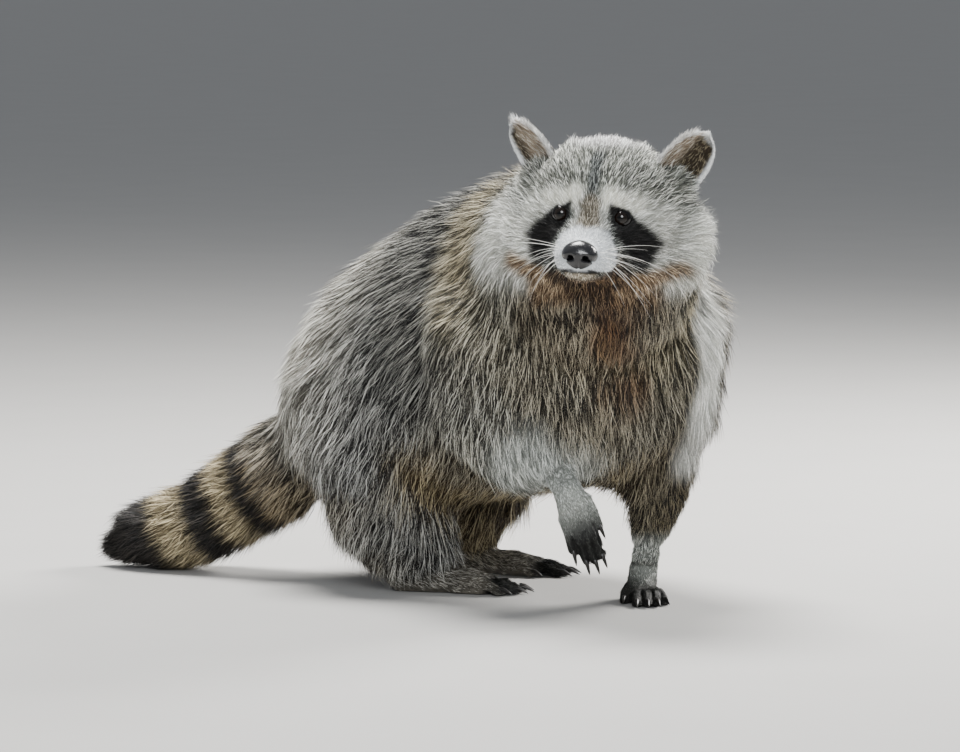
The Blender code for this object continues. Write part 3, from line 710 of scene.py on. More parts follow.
@dataclass
class Markings:
    """Where the raccoon is which colour. Skin and coat both ask here."""

    head: HeadFrame
    tail_root: Array = field(default_factory=lambda: cell_centre("tail_base"))
    tail_end: Array = field(default_factory=lambda: cell_centre("tail_tip"))
    toes: dict[str, Array] = field(default_factory=lambda: {n: toe_centre(n) for n in PAWS})

    # Rings of the tail, from its tip: share of its length where each ends, and its tone.
    RINGS = (
        (0.21, Tone.RING),
        (0.35, Tone.TAIL_CREAM),
        (0.50, Tone.RING),
        (0.60, Tone.TAIL_CREAM),
        (0.71, Tone.RING),
        (0.84, Tone.TAIL_TAN),
        (0.97, Tone.TAIL),
    )

    def palette(self, points: Array, normals: Array, shares: Array) -> Array:
        """The hairs' colours at places.

        Args:
            points: Row places.
            normals: The skin's outward directions.
            shares: Their shares of PARTS.

        Returns:
            For each place, its dark, middle and pale colours as rows of a 3 by 3 table.
        """
        tones = np.stack([WEAR[n].tone.colours() for n in PARTS])
        out = np.einsum("ip,pck->ick", shares, tones)
        part = dict(zip(PARTS, shares.T))
        self._body(out, points, normals, part)
        self._limbs(out, points, part)
        self._tail(out, points, part)
        self._head(out, points, part)
        patchy = 1.0 + 0.10 * lattice_noise(points, 0.018, 3)
        return out * patchy[:, None, None]

    @staticmethod
    def _lay(out: Array, amount: Array, tone: Tone) -> None:
        """Paints a tone over what is there, by an amount from 0 to 1."""
        out += (tone.colours() - out) * np.clip(amount, 0.0, 1.0)[:, None, None]

    def _body(self, out: Array, points: Array, normals: Array, part: dict[str, Array]) -> None:
        """Dark back, greyer rump, ochre belly, grizzled breast, and the strokes.

        Args:
            out: The palette, changed in place.
            points: Row places.
            normals: The skin's outward directions.
            part: Each part's share of every place.
        """
        ragged = points + 0.005 * lattice_noise(points, 0.014, 5)[:, None]
        hull = part["trunk"] + part["thigh_left"] + part["thigh_right"]
        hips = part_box("tail_base")[0].y
        rump = ramp(hips - 0.09, hips - 0.01, ragged[:, 1]) * ramp(0.06, 0.10, points[:, 2])
        self._lay(out, 0.95 * hull * rump, Tone.RUMP)
        under = ramp(-0.10, -0.62, normals[:, 2])
        self._lay(out, under * (hull + 0.6 * part["shank_left"]), Tone.BELLY)
        inside = self.head.inside(ragged)
        breast = (part["trunk"] + part["neck"] + part["head"]) * ramp(-26.0, -40.0, inside[:, 2])
        self._lay(out, breast * ramp(50.0, 10.0, inside[:, 1]) * ramp(75.0, 50.0, -inside[:, 0]), Tone.CHEST)
        for stroke in BODY_STROKES:
            self._lay(out, stroke.share(ragged), stroke.tone)

    def _limbs(self, out: Array, points: Array, part: dict[str, Array]) -> None:
        """Paler wrists and upper left forepaw, the pale lifted forearm, dark toes, and painted shade in the
        gaps between the digits.

        Args:
            out: The palette, changed in place.
            points: Row places.
            part: Each part's share of every place.
        """
        z = points[:, 2]
        self._lay(out, part["forearm_left"] * ramp(0.052, 0.036, z), Tone.WRIST)
        self._lay(out, 0.9 * part["forepaw_left"] * ramp(0.010, 0.020, z), Tone.WRIST)
        self._lay(out, 0.9 * part["forepaw_right"] + part["forearm_right"], Tone.FOREARM)
        for name in PAWS:
            reach, solid = (0.047, 0.016) if name == "forepaw_right" else (0.030, 0.0165)
            near = np.linalg.norm(points - self.toes[name], axis=1)
            self._lay(out, part[name] * ramp(reach, solid, near), Tone.PAW)
            own = np.nonzero((part[name] > 0.05) & (near < 0.06))[0]
            # painted shade: the gaps between the digits are darkened where shade falls between them
            out[own] *= (1.0 - 0.85 * part[name][own] * digit_gap(name, points[own]))[:, None, None]

    def tail_place(self, points: Array) -> Array:
        """How far along the tail places lie, from 0 at its tip to 1 at its root.

        Args:
            points: Row places.

        Returns:
            A share of the tail for each place.
        """
        axis = self.tail_root - self.tail_end
        reach = np.linalg.norm(axis)
        tip = self.tail_end - unit(axis) * 0.024
        return (points - tip) @ unit(axis) / (reach + 0.024 + 0.016)

    def _tail(self, out: Array, points: Array, part: dict[str, Array]) -> None:
        """The rings, with ragged edges.

        Args:
            out: The palette, changed in place.
            points: Row places.
            part: Each part's share of every place.
        """
        amount = part["tail_base"] + part["tail_middle"] + part["tail_tip"]
        along = self.tail_place(points) + 0.014 * lattice_noise(points, 0.006, 8)
        start = -1.0
        for end, tone in self.RINGS:
            inside = ramp(start - 0.012, start + 0.012, along) * ramp(end + 0.012, end - 0.012, along)
            self._lay(out, amount * inside, tone)
            start = end

    def _head(self, out: Array, points: Array, part: dict[str, Array]) -> None:
        """Ruff, crown, a pale fringe with painted rim light, brows, muzzle, mask, stripe, cheeks and throat.

        Args:
            out: The palette, changed in place.
            points: Row places.
            part: Each part's share of every place.
        """
        p = self.head.inside(points)
        p = p + 1.2 * np.stack([lattice_noise(p, 5.0, s) for s in (21, 22, 23)], 1)
        near = part["head"] + part["neck"]
        x, y, z = np.abs(p[:, 0]), p[:, 1], p[:, 2]
        head = part["head"]
        collar = ramp(36.0, 46.0, x) * ramp(28.0, 6.0, z) * ramp(-50.0, -32.0, z) * ramp(36.0, 20.0, y)
        self._lay(out, near * collar, Tone.RUFF)
        self._lay(out, head * ramp(14.0, 28.0, z) * ramp(-62.0, -46.0, y), Tone.CROWN)
        # painted rim light: the top of the head is made pale where light from behind catches it, over pale
        # hair tips
        self._lay(out, 0.85 * head * ramp(58.0, 64.0, z) * ramp(44.0, 36.0, x), Tone.FRINGE_AND_RIM_LIGHT)
        for blot in BROW_BLOTS:
            self._lay(out, head * blot.share(x, y, z), blot.tone)
        throat = ramp(48.0, 36.0, x) * ramp(-20.0, -25.0, z) * ramp(-46.0, -38.0, z + 0.25 * x)
        self._lay(out, 0.85 * near * throat * ramp(10.0, -10.0, y), Tone.THROAT)
        for blot in FACE_BLOTS:
            self._lay(out, (near if blot.tone is Tone.RUST else head) * blot.share(x, y, z), blot.tone)
        muzzle = ramp(-55.0, -60.0, y + 0.25 * x) * ramp(12.0, 8.0, z)
        muzzle = muzzle * ramp(-19.0, -17.0, z + 0.1 * (x - 12.0))
        self._lay(out, head * muzzle, Tone.MUZZLE)
        chin = ramp(-66.0, -70.0, y) * ramp(-17.5, -19.0, z) * ramp(-24.0, -21.5, z) * ramp(13.0, 8.0, x)
        self._lay(out, head * chin, Tone.CHIN)
        lip = ramp(2.5, 1.3, self.mouth_distance(p)) * ramp(15.0, 10.0, x) * ramp(-14.6, -16.4, z)
        self._lay(out, 0.95 * head * lip, Tone.LIP)

    @staticmethod
    def mouth_distance(p: Array) -> Array:
        """How far places in the head's frame are from the line of the mouth."""
        q = mirrored(p)
        return np.min([segment_distance(q, a, b)[0] for a, b in zip(MOUTH, MOUTH[1:])], axis=0)


# ---------------------------------------------------------------- finishes
@dataclass(frozen=True)
class Finish:
    """A material that reads the markings, or one plain colour, with grain in its nodes."""

    name: str
    roughness: float
    colour: tuple[float, float, float] | None = None  # None reads the markings
    coat: float = 0.0
    gloss: float = 0.5  # how strongly it mirrors
    grain: float = 0.0  # how strongly the grain shades the colour
    grain_size: float = 900.0
    bump: float = 0.0
    bump_depth: float = 0.0002
    cells: bool = False

    def material(self) -> bpy.types.Material:
        """Builds it.

        Returns:
            The material, with its nodes.
        """
        material = bpy.data.materials.new(self.name)
        material.use_nodes = True
        tree = material.node_tree
        shader = tree.nodes["Principled BSDF"]
        shader.inputs["Roughness"].default_value = self.roughness
        shader.inputs["Specular IOR Level"].default_value = self.gloss
        shader.inputs["Coat Weight"].default_value = self.coat
        shader.inputs["Coat Roughness"].default_value = 0.06
        place_node = tree.nodes.new("ShaderNodeTexCoord")
        kind = "ShaderNodeTexVoronoi" if self.cells else "ShaderNodeTexNoise"
        pattern = tree.nodes.new(kind)
        pattern.inputs["Scale"].default_value = self.grain_size
        if self.colour is None:
            source = tree.nodes.new("ShaderNodeAttribute")
            source.attribute_name = COLOUR
        else:
            source = tree.nodes.new("ShaderNodeRGB")
            source.outputs[0].default_value = (*self.colour, 1.0)
        shade, mixed = tree.nodes.new("ShaderNodeMapRange"), tree.nodes.new("ShaderNodeVectorMath")
        shade.inputs["To Min"].default_value = 1.0 - self.grain
        shade.inputs["To Max"].default_value = 1.0 + self.grain
        mixed.operation = "SCALE"
        value = "Distance" if self.cells else "Fac"
        wires = [
            (place_node, "Object", pattern, "Vector"),
            (pattern, value, shade, "Value"),
            (source, "Color", mixed, 0),
            (shade, "Result", mixed, "Scale"),
            (mixed, "Vector", shader, "Base Color"),
        ]
        if self.bump:
            relief = tree.nodes.new("ShaderNodeBump")
            relief.inputs["Strength"].default_value = self.bump
            relief.inputs["Distance"].default_value = self.bump_depth
            wires += [(pattern, value, relief, "Height"), (relief, "Normal", shader, "Normal")]
        wire(tree, wires)
        return material


COAT_FINISH = Finish("coat_hair", 0.55, gloss=0.22, grain=0.10, grain_size=420.0)
SKIN_FINISH = Finish("skin", 0.75, gloss=0.2, grain=0.35, grain_size=700.0, bump=0.5, bump_depth=0.0004)
NOSTRIL_FINISH = Finish("nostril", 0.9, (0.002, 0.002, 0.002), gloss=0.0)
PAW_FINISH = Finish(
    "paw_leather", 0.65, gloss=0.25, grain=0.3, grain_size=900.0, bump=0.6, bump_depth=0.0003, cells=True
)
NOSE_FINISH = Finish(
    "nose_leather", 0.24, (0.0050, 0.0050, 0.0060), 0.35, 0.5, 0.3, 1500.0, 0.45, 0.0002, True
)
EYE_FINISH = Finish("wet_eye", 0.05, coat=0.15, gloss=0.25, grain=0.1, grain_size=1500.0)
LID_FINISH = Finish("eyelid", 0.8, (0.005, 0.004, 0.004), 0.0, 0.08, 0.3, 1200.0, 0.3, 0.0002)
CLAW_FINISH = Finish("claw_horn", 0.42, (0.011, 0.010, 0.009), 0.1, 0.35, 0.35, 600.0, 0.3, 0.0002)
WHISKER_FINISH = Finish("whisker", 0.35, (0.86, 0.85, 0.80), 0.0, 0.5, 0.1, 300.0)
FLOOR_FINISH = Finish("pale_floor", 0.85, (0.36, 0.355, 0.345), 0.0, 0.2, 0.03, 8.0)


# ---------------------------------------------------------------- skin
SKIN_TRIANGLES = 190000  # the skin's piece has no more
# The face's forms: where each is, how wide, and how far it stands out; both sides have them.
FACE_FORMS = (
    ((11.5, -73.0, -9.5), 8.5, 1.6),  # whisker pad
    ((0.0, -77.0, -22.0), 6.5, 1.4),  # chin
    ((22.0, -48.0, 28.0), 8.0, 1.2),  # brow
    ((21.0, -54.0, 15.0), 6.5, -1.6),  # hollow of the eye
    ((12.0, -57.0, 14.0), 4.0, -1.0),  # its inner corner
    ((0.0, -62.0, 10.0), 6.0, 0.6),  # bridge of the nose
    ((0.0, -92.0, -6.0), 8.5, -7.0),  # behind the nose pad
)


@dataclass
class Skin:
    """The one skin under the coat, with the face's folds, the ears and the paws."""

    head: HeadFrame
    body: BodyMap
    cell: float = 2.6 * MM
    paw_cell: float = 0.95 * MM
    grow: float = 0.45 * MM  # closes the gaps between the solids
    main: int = 0  # how many of the skin's corners aren't a paw's
    sleeve: float = 25.0 * MM  # how far a paw's own skin runs up the leg
    tuck: float = 7.0  # how much deeper the lifted paw's sleeve ends, under the arm's long coat
    crease: float = 1.3  # how deep the gaps between the digits are
    lifted_crease: float = 1.9
    sinking: float = 3.0  # how much deeper the leg's skin lies where a paw's sleeve covers it
    ear_lump: tuple[float, float, float] = (17.0, 13.0, 15.0)  # what fills an ear's socket
    ear_root: tuple[float, float, float] = (44.0, 4.0, 34.0)
    wrist: tuple[float, float] = (18.0 * MM, 8.0 * MM)  # from where to where a wrist is smoothed
    smoothing: int = 150

    def solids(self, names: tuple[str, ...]) -> Shell:
        """Some solids, grown a little so that neighbours overlap.

        Args:
            names: Which solids.

        Returns:
            One surface of loose shells.
        """
        parts = []
        for name in names:
            shell = self.body.shells[name]
            parts.append(Shell(shell.points + shell.normals() * self.grow, shell.triangles))
        return Shell.joined(parts)

    def plugs(self, nodes: dict[str, bpy.types.Object]) -> list[Shell]:
        """What fills the sockets of the eyes, nose and ears.

        Args:
            nodes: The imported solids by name.

        Returns:
            The lumps, as closed surfaces.
        """
        fill = [Shell.read(nodes[n].data).merged() for n in ("eye_left", "eye_right", "nose")]
        lump = ball(3)
        for side in (1.0, -1.0):
            middle = np.array(self.ear_root) * np.array([side, 1.0, 1.0])
            local = lump.points * np.array(self.ear_lump) + middle
            fill.append(Shell(self.head.outside(local), lump.triangles))
        return fill

    def depth(self, points: Array, shares: Array) -> Array:
        """How deep the skin lies under the outline of the coat, in metres.

        Args:
            points: Row places.
            shares: Their shares of PARTS.

        Returns:
            A depth for each place.
        """
        base = worn(shares, "depth")
        p = self.head.inside(points)
        face = share_of(shares, "head")
        brush = share_of(shares, "tail_tip") * ramp(0.16, 0.0, Markings(self.head).tail_place(points))
        cuff = share_of(shares, "forearm_left") * ramp(0.060, 0.040, points[:, 2])
        base = base + 2.5 * brush - 2.2 * cuff + 3.5 * slimmer(points, shares)
        for name in PAWS:
            near = self.body.away(name, points, 22.0 * MM)
            base = base + self.sinking * ramp(20.0 * MM, 4.0 * MM, near)
        return (base + face * (face_scale(p) * 8.5 + 0.5 - WEAR["head"].depth)) * MM

    def build(self, nodes: dict[str, bpy.types.Object]) -> Shell:
        """The whole skin as one surface.

        Args:
            nodes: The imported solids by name.

        Returns:
            The skin.
        """
        names = tuple(n for n in PARTS if n not in PAWS)
        outer = fused(Shell.joined([self.solids(names), *self.plugs(nodes)]), self.cell).relaxed(3)
        shares = self.body.shares(outer.points)
        depth = outer.averaged(self.depth(outer.points, shares)[:, None], 6)
        inner = Shell(outer.points - outer.normals() * depth, outer.triangles).relaxed(5)
        inner = self.refined(inner)
        self.sculpt(inner)
        self.main = len(inner.points)
        shells = [inner, *(self.paw(name) for name in PAWS)]
        LOG.info("skin: %d triangles", sum(len(s.triangles) for s in shells))
        return Shell.joined(shells)

    def refined(self, shell: Shell) -> Shell:
        """Finer cells on the face, and finest round the eyes, nose and mouth.

        Args:
            shell: The skin.

        Returns:
            The same skin with more corners.
        """
        bm = bmesh.new()
        mesh = mesh_of("refining", shell)
        bm.from_mesh(mesh)
        for reach in (62.0, 26.0):
            points = np.array([v.co for v in bm.verts])
            p = mirrored(self.head.inside(points))
            if reach > 50.0:
                close = (p[:, 1] < -12.0) & (np.linalg.norm(p - np.array([10.0, -50.0, 0.0]), axis=1) < reach)
            else:
                close = np.linalg.norm(p - np.array([14.0, -66.0, 0.0]), axis=1) < reach
            bm.verts.ensure_lookup_table()
            marked = {v for v, c in zip(bm.verts, close) if c}
            edges = [e for e in bm.edges if e.verts[0] in marked and e.verts[1] in marked]
            bmesh.ops.subdivide_edges(bm, edges=edges, cuts=1, use_grid_fill=True)
            bmesh.ops.triangulate(bm, faces=bm.faces)
        bm.to_mesh(mesh)
        bm.free()
        fine = Shell.read(mesh)
        return fine.relaxed(2, 0.4)

    def sculpt(self, shell: Shell) -> None:
        """Whisker pads, chin, brows, eye hollows and the line of the mouth.

        Args:
            shell: The skin, changed in place.
        """
        p = self.head.inside(shell.points)
        q = mirrored(p)
        move = np.zeros(len(p))
        for centre, radius, height in FACE_FORMS:
            move += height * np.exp(-((np.linalg.norm(q - np.array(centre), axis=1) / radius) ** 2))
        move -= 1.0 * np.exp(-((Markings.mouth_distance(p) / 1.3) ** 2))
        shell.points += shell.normals() * (move * MM)[:, None]

    def paw(self, name: str) -> Shell:
        """A paw's skin, with a sleeve that runs up inside the leg's.

        Args:
            name: The paw's name.

        Returns:
            Its skin.
        """
        limb = LIMB_OF[name]
        outer = fused(self.solids((name, limb)), self.paw_cell).relaxed(4)
        away = self.body.away(name, outer.points, 1.0)
        joint = np.maximum(away, self.body.away(limb, outer.points, 1.0))
        smooth = outer.relaxed(self.smoothing)
        outward = smooth.normals()
        share = ramp(*self.wrist, joint)
        lost = dots(outer.points - smooth.points, outward)
        smooth.points += outward * (share @ lost / share.sum())
        outer.points += (smooth.points - outer.points) * share[:, None]
        outer_kept = outer.kept(away < self.sleeve)
        away = self.body.away(name, outer_kept.points, 1.0)
        deep = ramp(0.0, self.sleeve, away) * (WEAR[limb].depth + 2.6) + WEAR[name].depth
        lifted = name == "forepaw_right"
        crease = self.lifted_crease if lifted else self.crease
        deep = deep + crease * digit_gap(name, outer_kept.points)
        if lifted:
            deep = deep + self.tuck * ramp(0.45 * self.sleeve, 0.95 * self.sleeve, away)
        return Shell(outer_kept.points - outer_kept.normals() * (deep * MM)[:, None], outer_kept.triangles)


def slimmer(points: Array, shares: Array) -> Array:
    """Where the left forearm is slimmer than the coat of the arm above it."""
    upper = share_of(shares, "upper_arm_left") * ramp(0.135, 0.105, points[:, 2])
    return upper + share_of(shares, "forearm_left") * ramp(0.045, 0.060, points[:, 2])


def face_scale(p: Array) -> Array:
    """How far the coat has grown out, from 0 at the nose to 1 at the ruff.

    Args:
        p: Places in the head's frame.

    Returns:
        A share for each place.
    """
    back = ramp(-84.0, 14.0, p[:, 1] + 0.16 * np.abs(p[:, 0]))
    top = ramp(12.0, 40.0, p[:, 2])
    return back * (1.0 - 0.42 * top)


# ---------------------------------------------------------------- ears
@dataclass
class Ear:
    """One cupped ear, as a thin shell that stands in the head."""

    head: HeadFrame
    side: float
    root: tuple[float, float, float] = (43.5, 3.0, 34.0)
    tip: tuple[float, float, float] = (67.0, 6.0, 70.0)
    half_width: float = 17.0
    cup: float = 9.5
    wall: float = 1.5
    turns: tuple[float, float] = (28.0, 44.0)  # how far the left and the right cup face outwards
    across_steps: int = 26
    up_steps: int = 30

    def frame(self) -> tuple[Array, Array, Array, Array, float]:
        """Root, and the directions across, back and up, with the ear's length.

        Returns:
            The root, three directions and the length, in the head's frame.
        """
        flip = np.array([self.side, 1.0, 1.0])
        root, tip = np.array(self.root) * flip, np.array(self.tip) * flip
        up = unit(tip - root)
        angle = math.radians(self.turns[0] if self.side > 0 else -self.turns[1])
        front = np.array([math.sin(angle), -math.cos(angle), 0.0])
        across = unit(np.cross(up, front))
        front = np.cross(across, up)
        return root, across * self.side, -front, up, float(np.linalg.norm(tip - root))

    def point(self, u: Array, v: Array, inset: float) -> Array:
        """Places on the ear in the head's frame.

        Args:
            u: Across the ear, from -1 to 1.
            v: Up the ear, from 0 to 1.
            inset: How far inside its outline and its back.

        Returns:
            Places in the head's frame.
        """
        root, across, back, up, length = self.frame()
        width = (self.half_width - inset) * np.sqrt(np.clip(1.0 - np.abs((v - 0.30) / 0.71) ** 2.3, 0.0, 1.0))
        arc = math.radians(72.0)
        deep = (self.cup * (1.0 - 0.55 * v)) * (np.cos(u * arc) - math.cos(arc)) / (1.0 - math.cos(arc))
        curl = -4.0 * v**2 + 3.0
        bent = deep + curl - inset
        rise = v * length * (1.0 - 0.05 * u**2)
        wide = width * np.sin(u * arc) / math.sin(arc)
        return root + wide[:, None] * across + bent[:, None] * back + rise[:, None] * up

    def build(self) -> tuple[Shell, Array]:
        """Makes the ear.

        Returns:
            The shell in the row frame, and for each corner 1 inside the cup, 0 on its back.
        """
        nu, nv = self.across_steps, self.up_steps
        u, v = np.meshgrid(np.linspace(-1.0, 1.0, nu), np.linspace(0.0, 1.0, nv) ** 0.9, indexing="ij")
        u, v = u.ravel(), v.ravel()
        outer, inner = self.point(u, v, 0.0), self.point(u, v, self.wall)
        index = np.arange(nu * nv).reshape(nu, nv)
        a, b = index[:-1, :-1].ravel(), index[1:, :-1].ravel()
        c, d = index[1:, 1:].ravel(), index[:-1, 1:].ravel()
        sheet = np.concatenate([np.stack([a, b, c], 1), np.stack([a, c, d], 1)])
        far = sheet[:, ::-1] + nu * nv
        rim = []
        for line in (index[0, :], index[:, -1], index[-1, ::-1]):
            for p, q in zip(line, line[1:]):
                rim += [(p, q, q + nu * nv), (p, q + nu * nv, p + nu * nv)]
        points = self.head.outside(np.concatenate([outer, inner]))
        shell = Shell(points, np.concatenate([sheet, far, np.array(rim)]))
        cupped = np.repeat([0.0, 1.0], nu * nv)
        middle = shell.points.mean(0)
        outward = dots(shell.normals(), shell.points - middle)
        if outward[: nu * nv].mean() < 0.0:
            shell = shell.flipped()
        return shell, cupped


# ---------------------------------------------------------------- how the coat lies
@dataclass
class Lie:
    """Which way the hairs run over the body."""

    head: HeadFrame

    def flow(self, shell: Shell, shares: Array) -> Array:
        """The direction of the hairs at each corner of the skin, along the skin.

        Args:
            shell: The skin.
            shares: Its corners' shares of PARTS.

        Returns:
            A unit vector for each corner.
        """
        points, normals = shell.points, shell.normals()
        neck, root = cell_centre("neck"), cell_centre("tail_base")
        middle = cell_centre("trunk")
        bow = 2.0 * middle - (neck + root) / 2.0
        t = np.clip((points - neck) @ (root - neck) / ((root - neck) @ (root - neck)), 0.0, 1.0)[:, None]
        back = 2.0 * (1.0 - t) * (bow - neck) + 2.0 * t * (root - bow)
        back[:, 2] = 0.0
        back = unit(back)
        down = np.array([0.0, 0.0, -1.0])
        side = np.sqrt(np.clip(1.0 - normals[:, 2] ** 2, 0.0, 1.0))[:, None]
        body = back * (0.85 - 0.2 * side) + down * (0.95 * side)
        tail = unit(cell_centre("tail_tip") - root)
        p = self.head.inside(points)
        rise = np.stack([p[:, 0], p[:, 1] - self.head.nose[1] + 6.0, p[:, 2] + 3.0], 1)
        ruff = ramp(-10.0, 15.0, p[:, 1])[:, None] * np.array([0.0, 0.5, -0.7])
        ruff = ruff + ramp(-14.0, -30.0, p[:, 2])[:, None] * np.array([0.0, -0.2, -1.3])
        face = unit(self.head.direction(unit(rise) + ruff))
        chest = ramp(30.0, -10.0, p[:, 1])[:, None]
        rules = {name: body for name in PARTS}
        rules["head"] = face
        rules["neck"] = unit(body * (1.0 - chest) + down * 1.1 * chest + face * 0.35)
        rules["trunk"] = unit(body * (1.0 - 0.8 * chest) + down * 1.2 * chest)
        for name in ("upper_arm_left", "upper_arm_right", "thigh_left", "thigh_right"):
            rules[name] = body * 0.5 + down
        for name in ("forearm_left", "shank_left", "shank_right"):
            rules[name] = np.broadcast_to(down, points.shape) + 0.25 * back
        for name in ("tail_base", "tail_middle", "tail_tip"):
            rules[name] = np.broadcast_to(tail, points.shape)
        for name in PAWS:
            toward = unit(toe_centre(name) - cell_centre(name))
            rules[name] = np.broadcast_to(toward, points.shape)
        rules["forearm_right"] = np.broadcast_to(
            unit(cell_centre("forepaw_right") - cell_centre("upper_arm_right")), points.shape
        )
        total = sum(shares[:, k : k + 1] * unit(rules[name]) for k, name in enumerate(PARTS))
        for _ in range(3):
            total = shell.averaged(unit(flattened(total, normals)), 8)
        return unit(flattened(total, normals))


# ---------------------------------------------------------------- the coat
@dataclass
class Ground:
    """The skin as the coat sees it, with everything a root needs at each corner."""

    shell: Shell
    normals: Array
    flow: Array
    shares: Array
    length: Array  # metres
    density: Array  # relative
    lift: Array  # how far the hairs stand off the skin, in degrees
    bend: Array  # how sharply the skin curves away along the flow, per metre
    palette: Array | None = None  # its own colours, where the markings don't hold


@dataclass(frozen=True)
class CoatPiece:
    """One piece of the coat: which parts it grows on and how many blades it has."""

    name: str
    parts: tuple[str, ...]
    blades: int
    stations: tuple[float, ...] = (0.0, 0.58, 1.0)


PIECES = (
    CoatPiece("coat_face", ("head",), 60000, (0.0, 0.55, 1.0)),
    CoatPiece("coat_neck", ("neck",), 62000),
    CoatPiece("coat_trunk_right", ("trunk",), 65000),
    CoatPiece("coat_trunk_left", ("trunk",), 40000),
    CoatPiece("coat_arms", ("upper_arm_left", "upper_arm_right", "forearm_left", "forearm_right"), 65000),
    CoatPiece("coat_haunch_right", ("thigh_right", "shank_right"), 62000),
    CoatPiece("coat_haunch_left", ("thigh_left", "shank_left"), 36000),
    CoatPiece("coat_tail", ("tail_base", "tail_middle", "tail_tip"), 55000),
    CoatPiece("coat_paws", PAWS, 36000, (0.0, 0.55, 1.0)),
)


@dataclass
class Coat:
    """Tapered blades in locks, rooted in the skin."""

    ground: Ground
    markings: Markings
    thin_out: float = 1.0
    patch: float = 0.003  # size of a blade in the bake map
    floor: float = 0.25 * MM  # nothing hangs lower
    sunk: float = 0.3 * MM  # how deep the roots are
    turning: tuple[float, float] = (0.11, 0.15)  # how much locks and hairs turn aside, in radians
    rising: tuple[float, float] = (0.14, 0.16)  # how unevenly locks and hairs stand off
    bowing: tuple[float, float] = (0.05, 0.06)  # how much locks and hairs curve sideways
    uneven: float = 0.08  # how unevenly long the locks are
    lengths: tuple[float, float] = (0.70, 1.06)  # the shortest and longest hair of a lock
    gathering: tuple[float, float] = (0.22, 0.72)  # how far the ends draw together
    rolling: float = 0.55  # how much the blades turn about their own length, in radians
    shading: float = 0.12  # how unevenly bright the hairs are
    lifts: tuple[float, float] = (4.0, 50.0)  # the flattest and steepest hair, in degrees

    def build(self, material: bpy.types.Material) -> list[bpy.types.Object]:
        """Makes every piece of the coat.

        Args:
            material: The hair's finish.

        Returns:
            The pieces.
        """
        owner = np.argmax(self.ground.shares, axis=1)
        triangles = self.ground.shell.triangles
        middle = self.ground.shell.points[triangles].mean(1)
        face_owner = owner[triangles[:, 0]]
        spine = cell_centre("trunk")
        across = unit(self.right_side())
        made = []
        for number, piece in enumerate(PIECES):
            chosen = np.isin(face_owner, [PARTS.index(n) for n in piece.parts])
            if piece.name == "coat_trunk_right":
                chosen &= (middle - spine) @ across > 0.0
            elif piece.name == "coat_trunk_left":
                chosen &= (middle - spine) @ across <= 0.0
            rng = np.random.default_rng(SEED + number)
            made.append(self.piece(piece, np.nonzero(chosen)[0], rng, material))
        return made

    @staticmethod
    def right_side() -> Array:
        """The level direction to the trunk's own right."""
        along = cell_centre("neck") - cell_centre("tail_base")
        return np.array([along[1], -along[0], 0.0])

    def roots(self, faces: Array, count: int, rng: np.random.Generator) -> tuple[Array, Array]:
        """Evenly scattered roots: their triangles, and their shares of its three corners.

        Args:
            faces: The triangles to root in.
            count: How many roots.
            rng: Random numbers.

        Returns:
            A triangle for each root, and its place in it.
        """
        corners = self.ground.shell.triangles[faces]
        weight = self.ground.shell.areas()[faces] * self.ground.density[corners].mean(1)
        edges = np.cumsum(weight)
        spots = (np.arange(count) + rng.random(count)) / count * edges[-1]
        rows = faces[np.searchsorted(edges, spots).clip(0, len(faces) - 1)]
        a, b = np.sqrt(rng.random(count)), rng.random(count)
        return rows, np.stack([1.0 - a, a * (1.0 - b), a * b], 1)

    def piece(
        self, piece: CoatPiece, faces: Array, rng: np.random.Generator, material: bpy.types.Material
    ) -> bpy.types.Object:
        """One piece of the coat.

        Args:
            piece: What it is.
            faces: The skin's triangles that it grows on.
            rng: Its own random numbers.
            material: The hair's finish.

        Returns:
            The piece.
        """
        g = self.ground
        count = int(piece.blades * self.thin_out)
        rows, share = self.roots(faces, count, rng)
        corners = g.shell.triangles[rows]

        def at(values: Array) -> Array:
            """Values of the skin at the roots."""
            return np.einsum("nc,nc...->n...", share, values[corners])

        root, normal = at(g.shell.points), unit(at(g.normals))
        shares, length, bend = at(g.shares), at(g.length), at(g.bend)
        lift = np.radians(at(g.lift))
        own = None if g.palette is None else at(g.palette)
        flow = unit(at(g.flow))
        width = worn(shares, "width") * MM
        droop = worn(shares, "droop")
        lock_size = worn(shares, "lock") * MM

        lock, number = self.locks(root, lock_size)
        lock_rng = np.random.default_rng(SEED * 7 + len(rows))
        of_lock, of_hair = self.turning
        twist = lock_rng.normal(0.0, of_lock, number)[lock] + rng.normal(0.0, of_hair, count)
        of_lock, of_hair = self.rising
        lock_lift = lock_rng.normal(1.0, of_lock, number)[lock] * rng.normal(1.0, of_hair, count)
        lock_length = lock_rng.normal(1.0, self.uneven, number)[lock] * rng.uniform(*self.lengths, count)
        side = np.cross(flow, normal)
        flow = unit(flow * np.cos(twist)[:, None] + side * np.sin(twist)[:, None])
        lift = np.clip(lift * lock_lift, *np.radians(self.lifts))
        kind = rng.random(count)
        length = length * lock_length * np.where(kind > TIPPED, GUARD_LENGTH, 1.0)

        centre = np.stack([np.bincount(lock, root[:, k], number) for k in range(3)], 1)
        centre /= np.maximum(np.bincount(lock, minlength=number), 1)[:, None]
        spread = flattened(root - centre[lock], normal)
        gather = rng.uniform(*self.gathering, count)
        of_lock, of_hair = self.bowing
        bow = (lock_rng.normal(0.0, of_lock, number)[lock] + rng.normal(0.0, of_hair, count)) * length
        beside = np.cross(flow, normal)

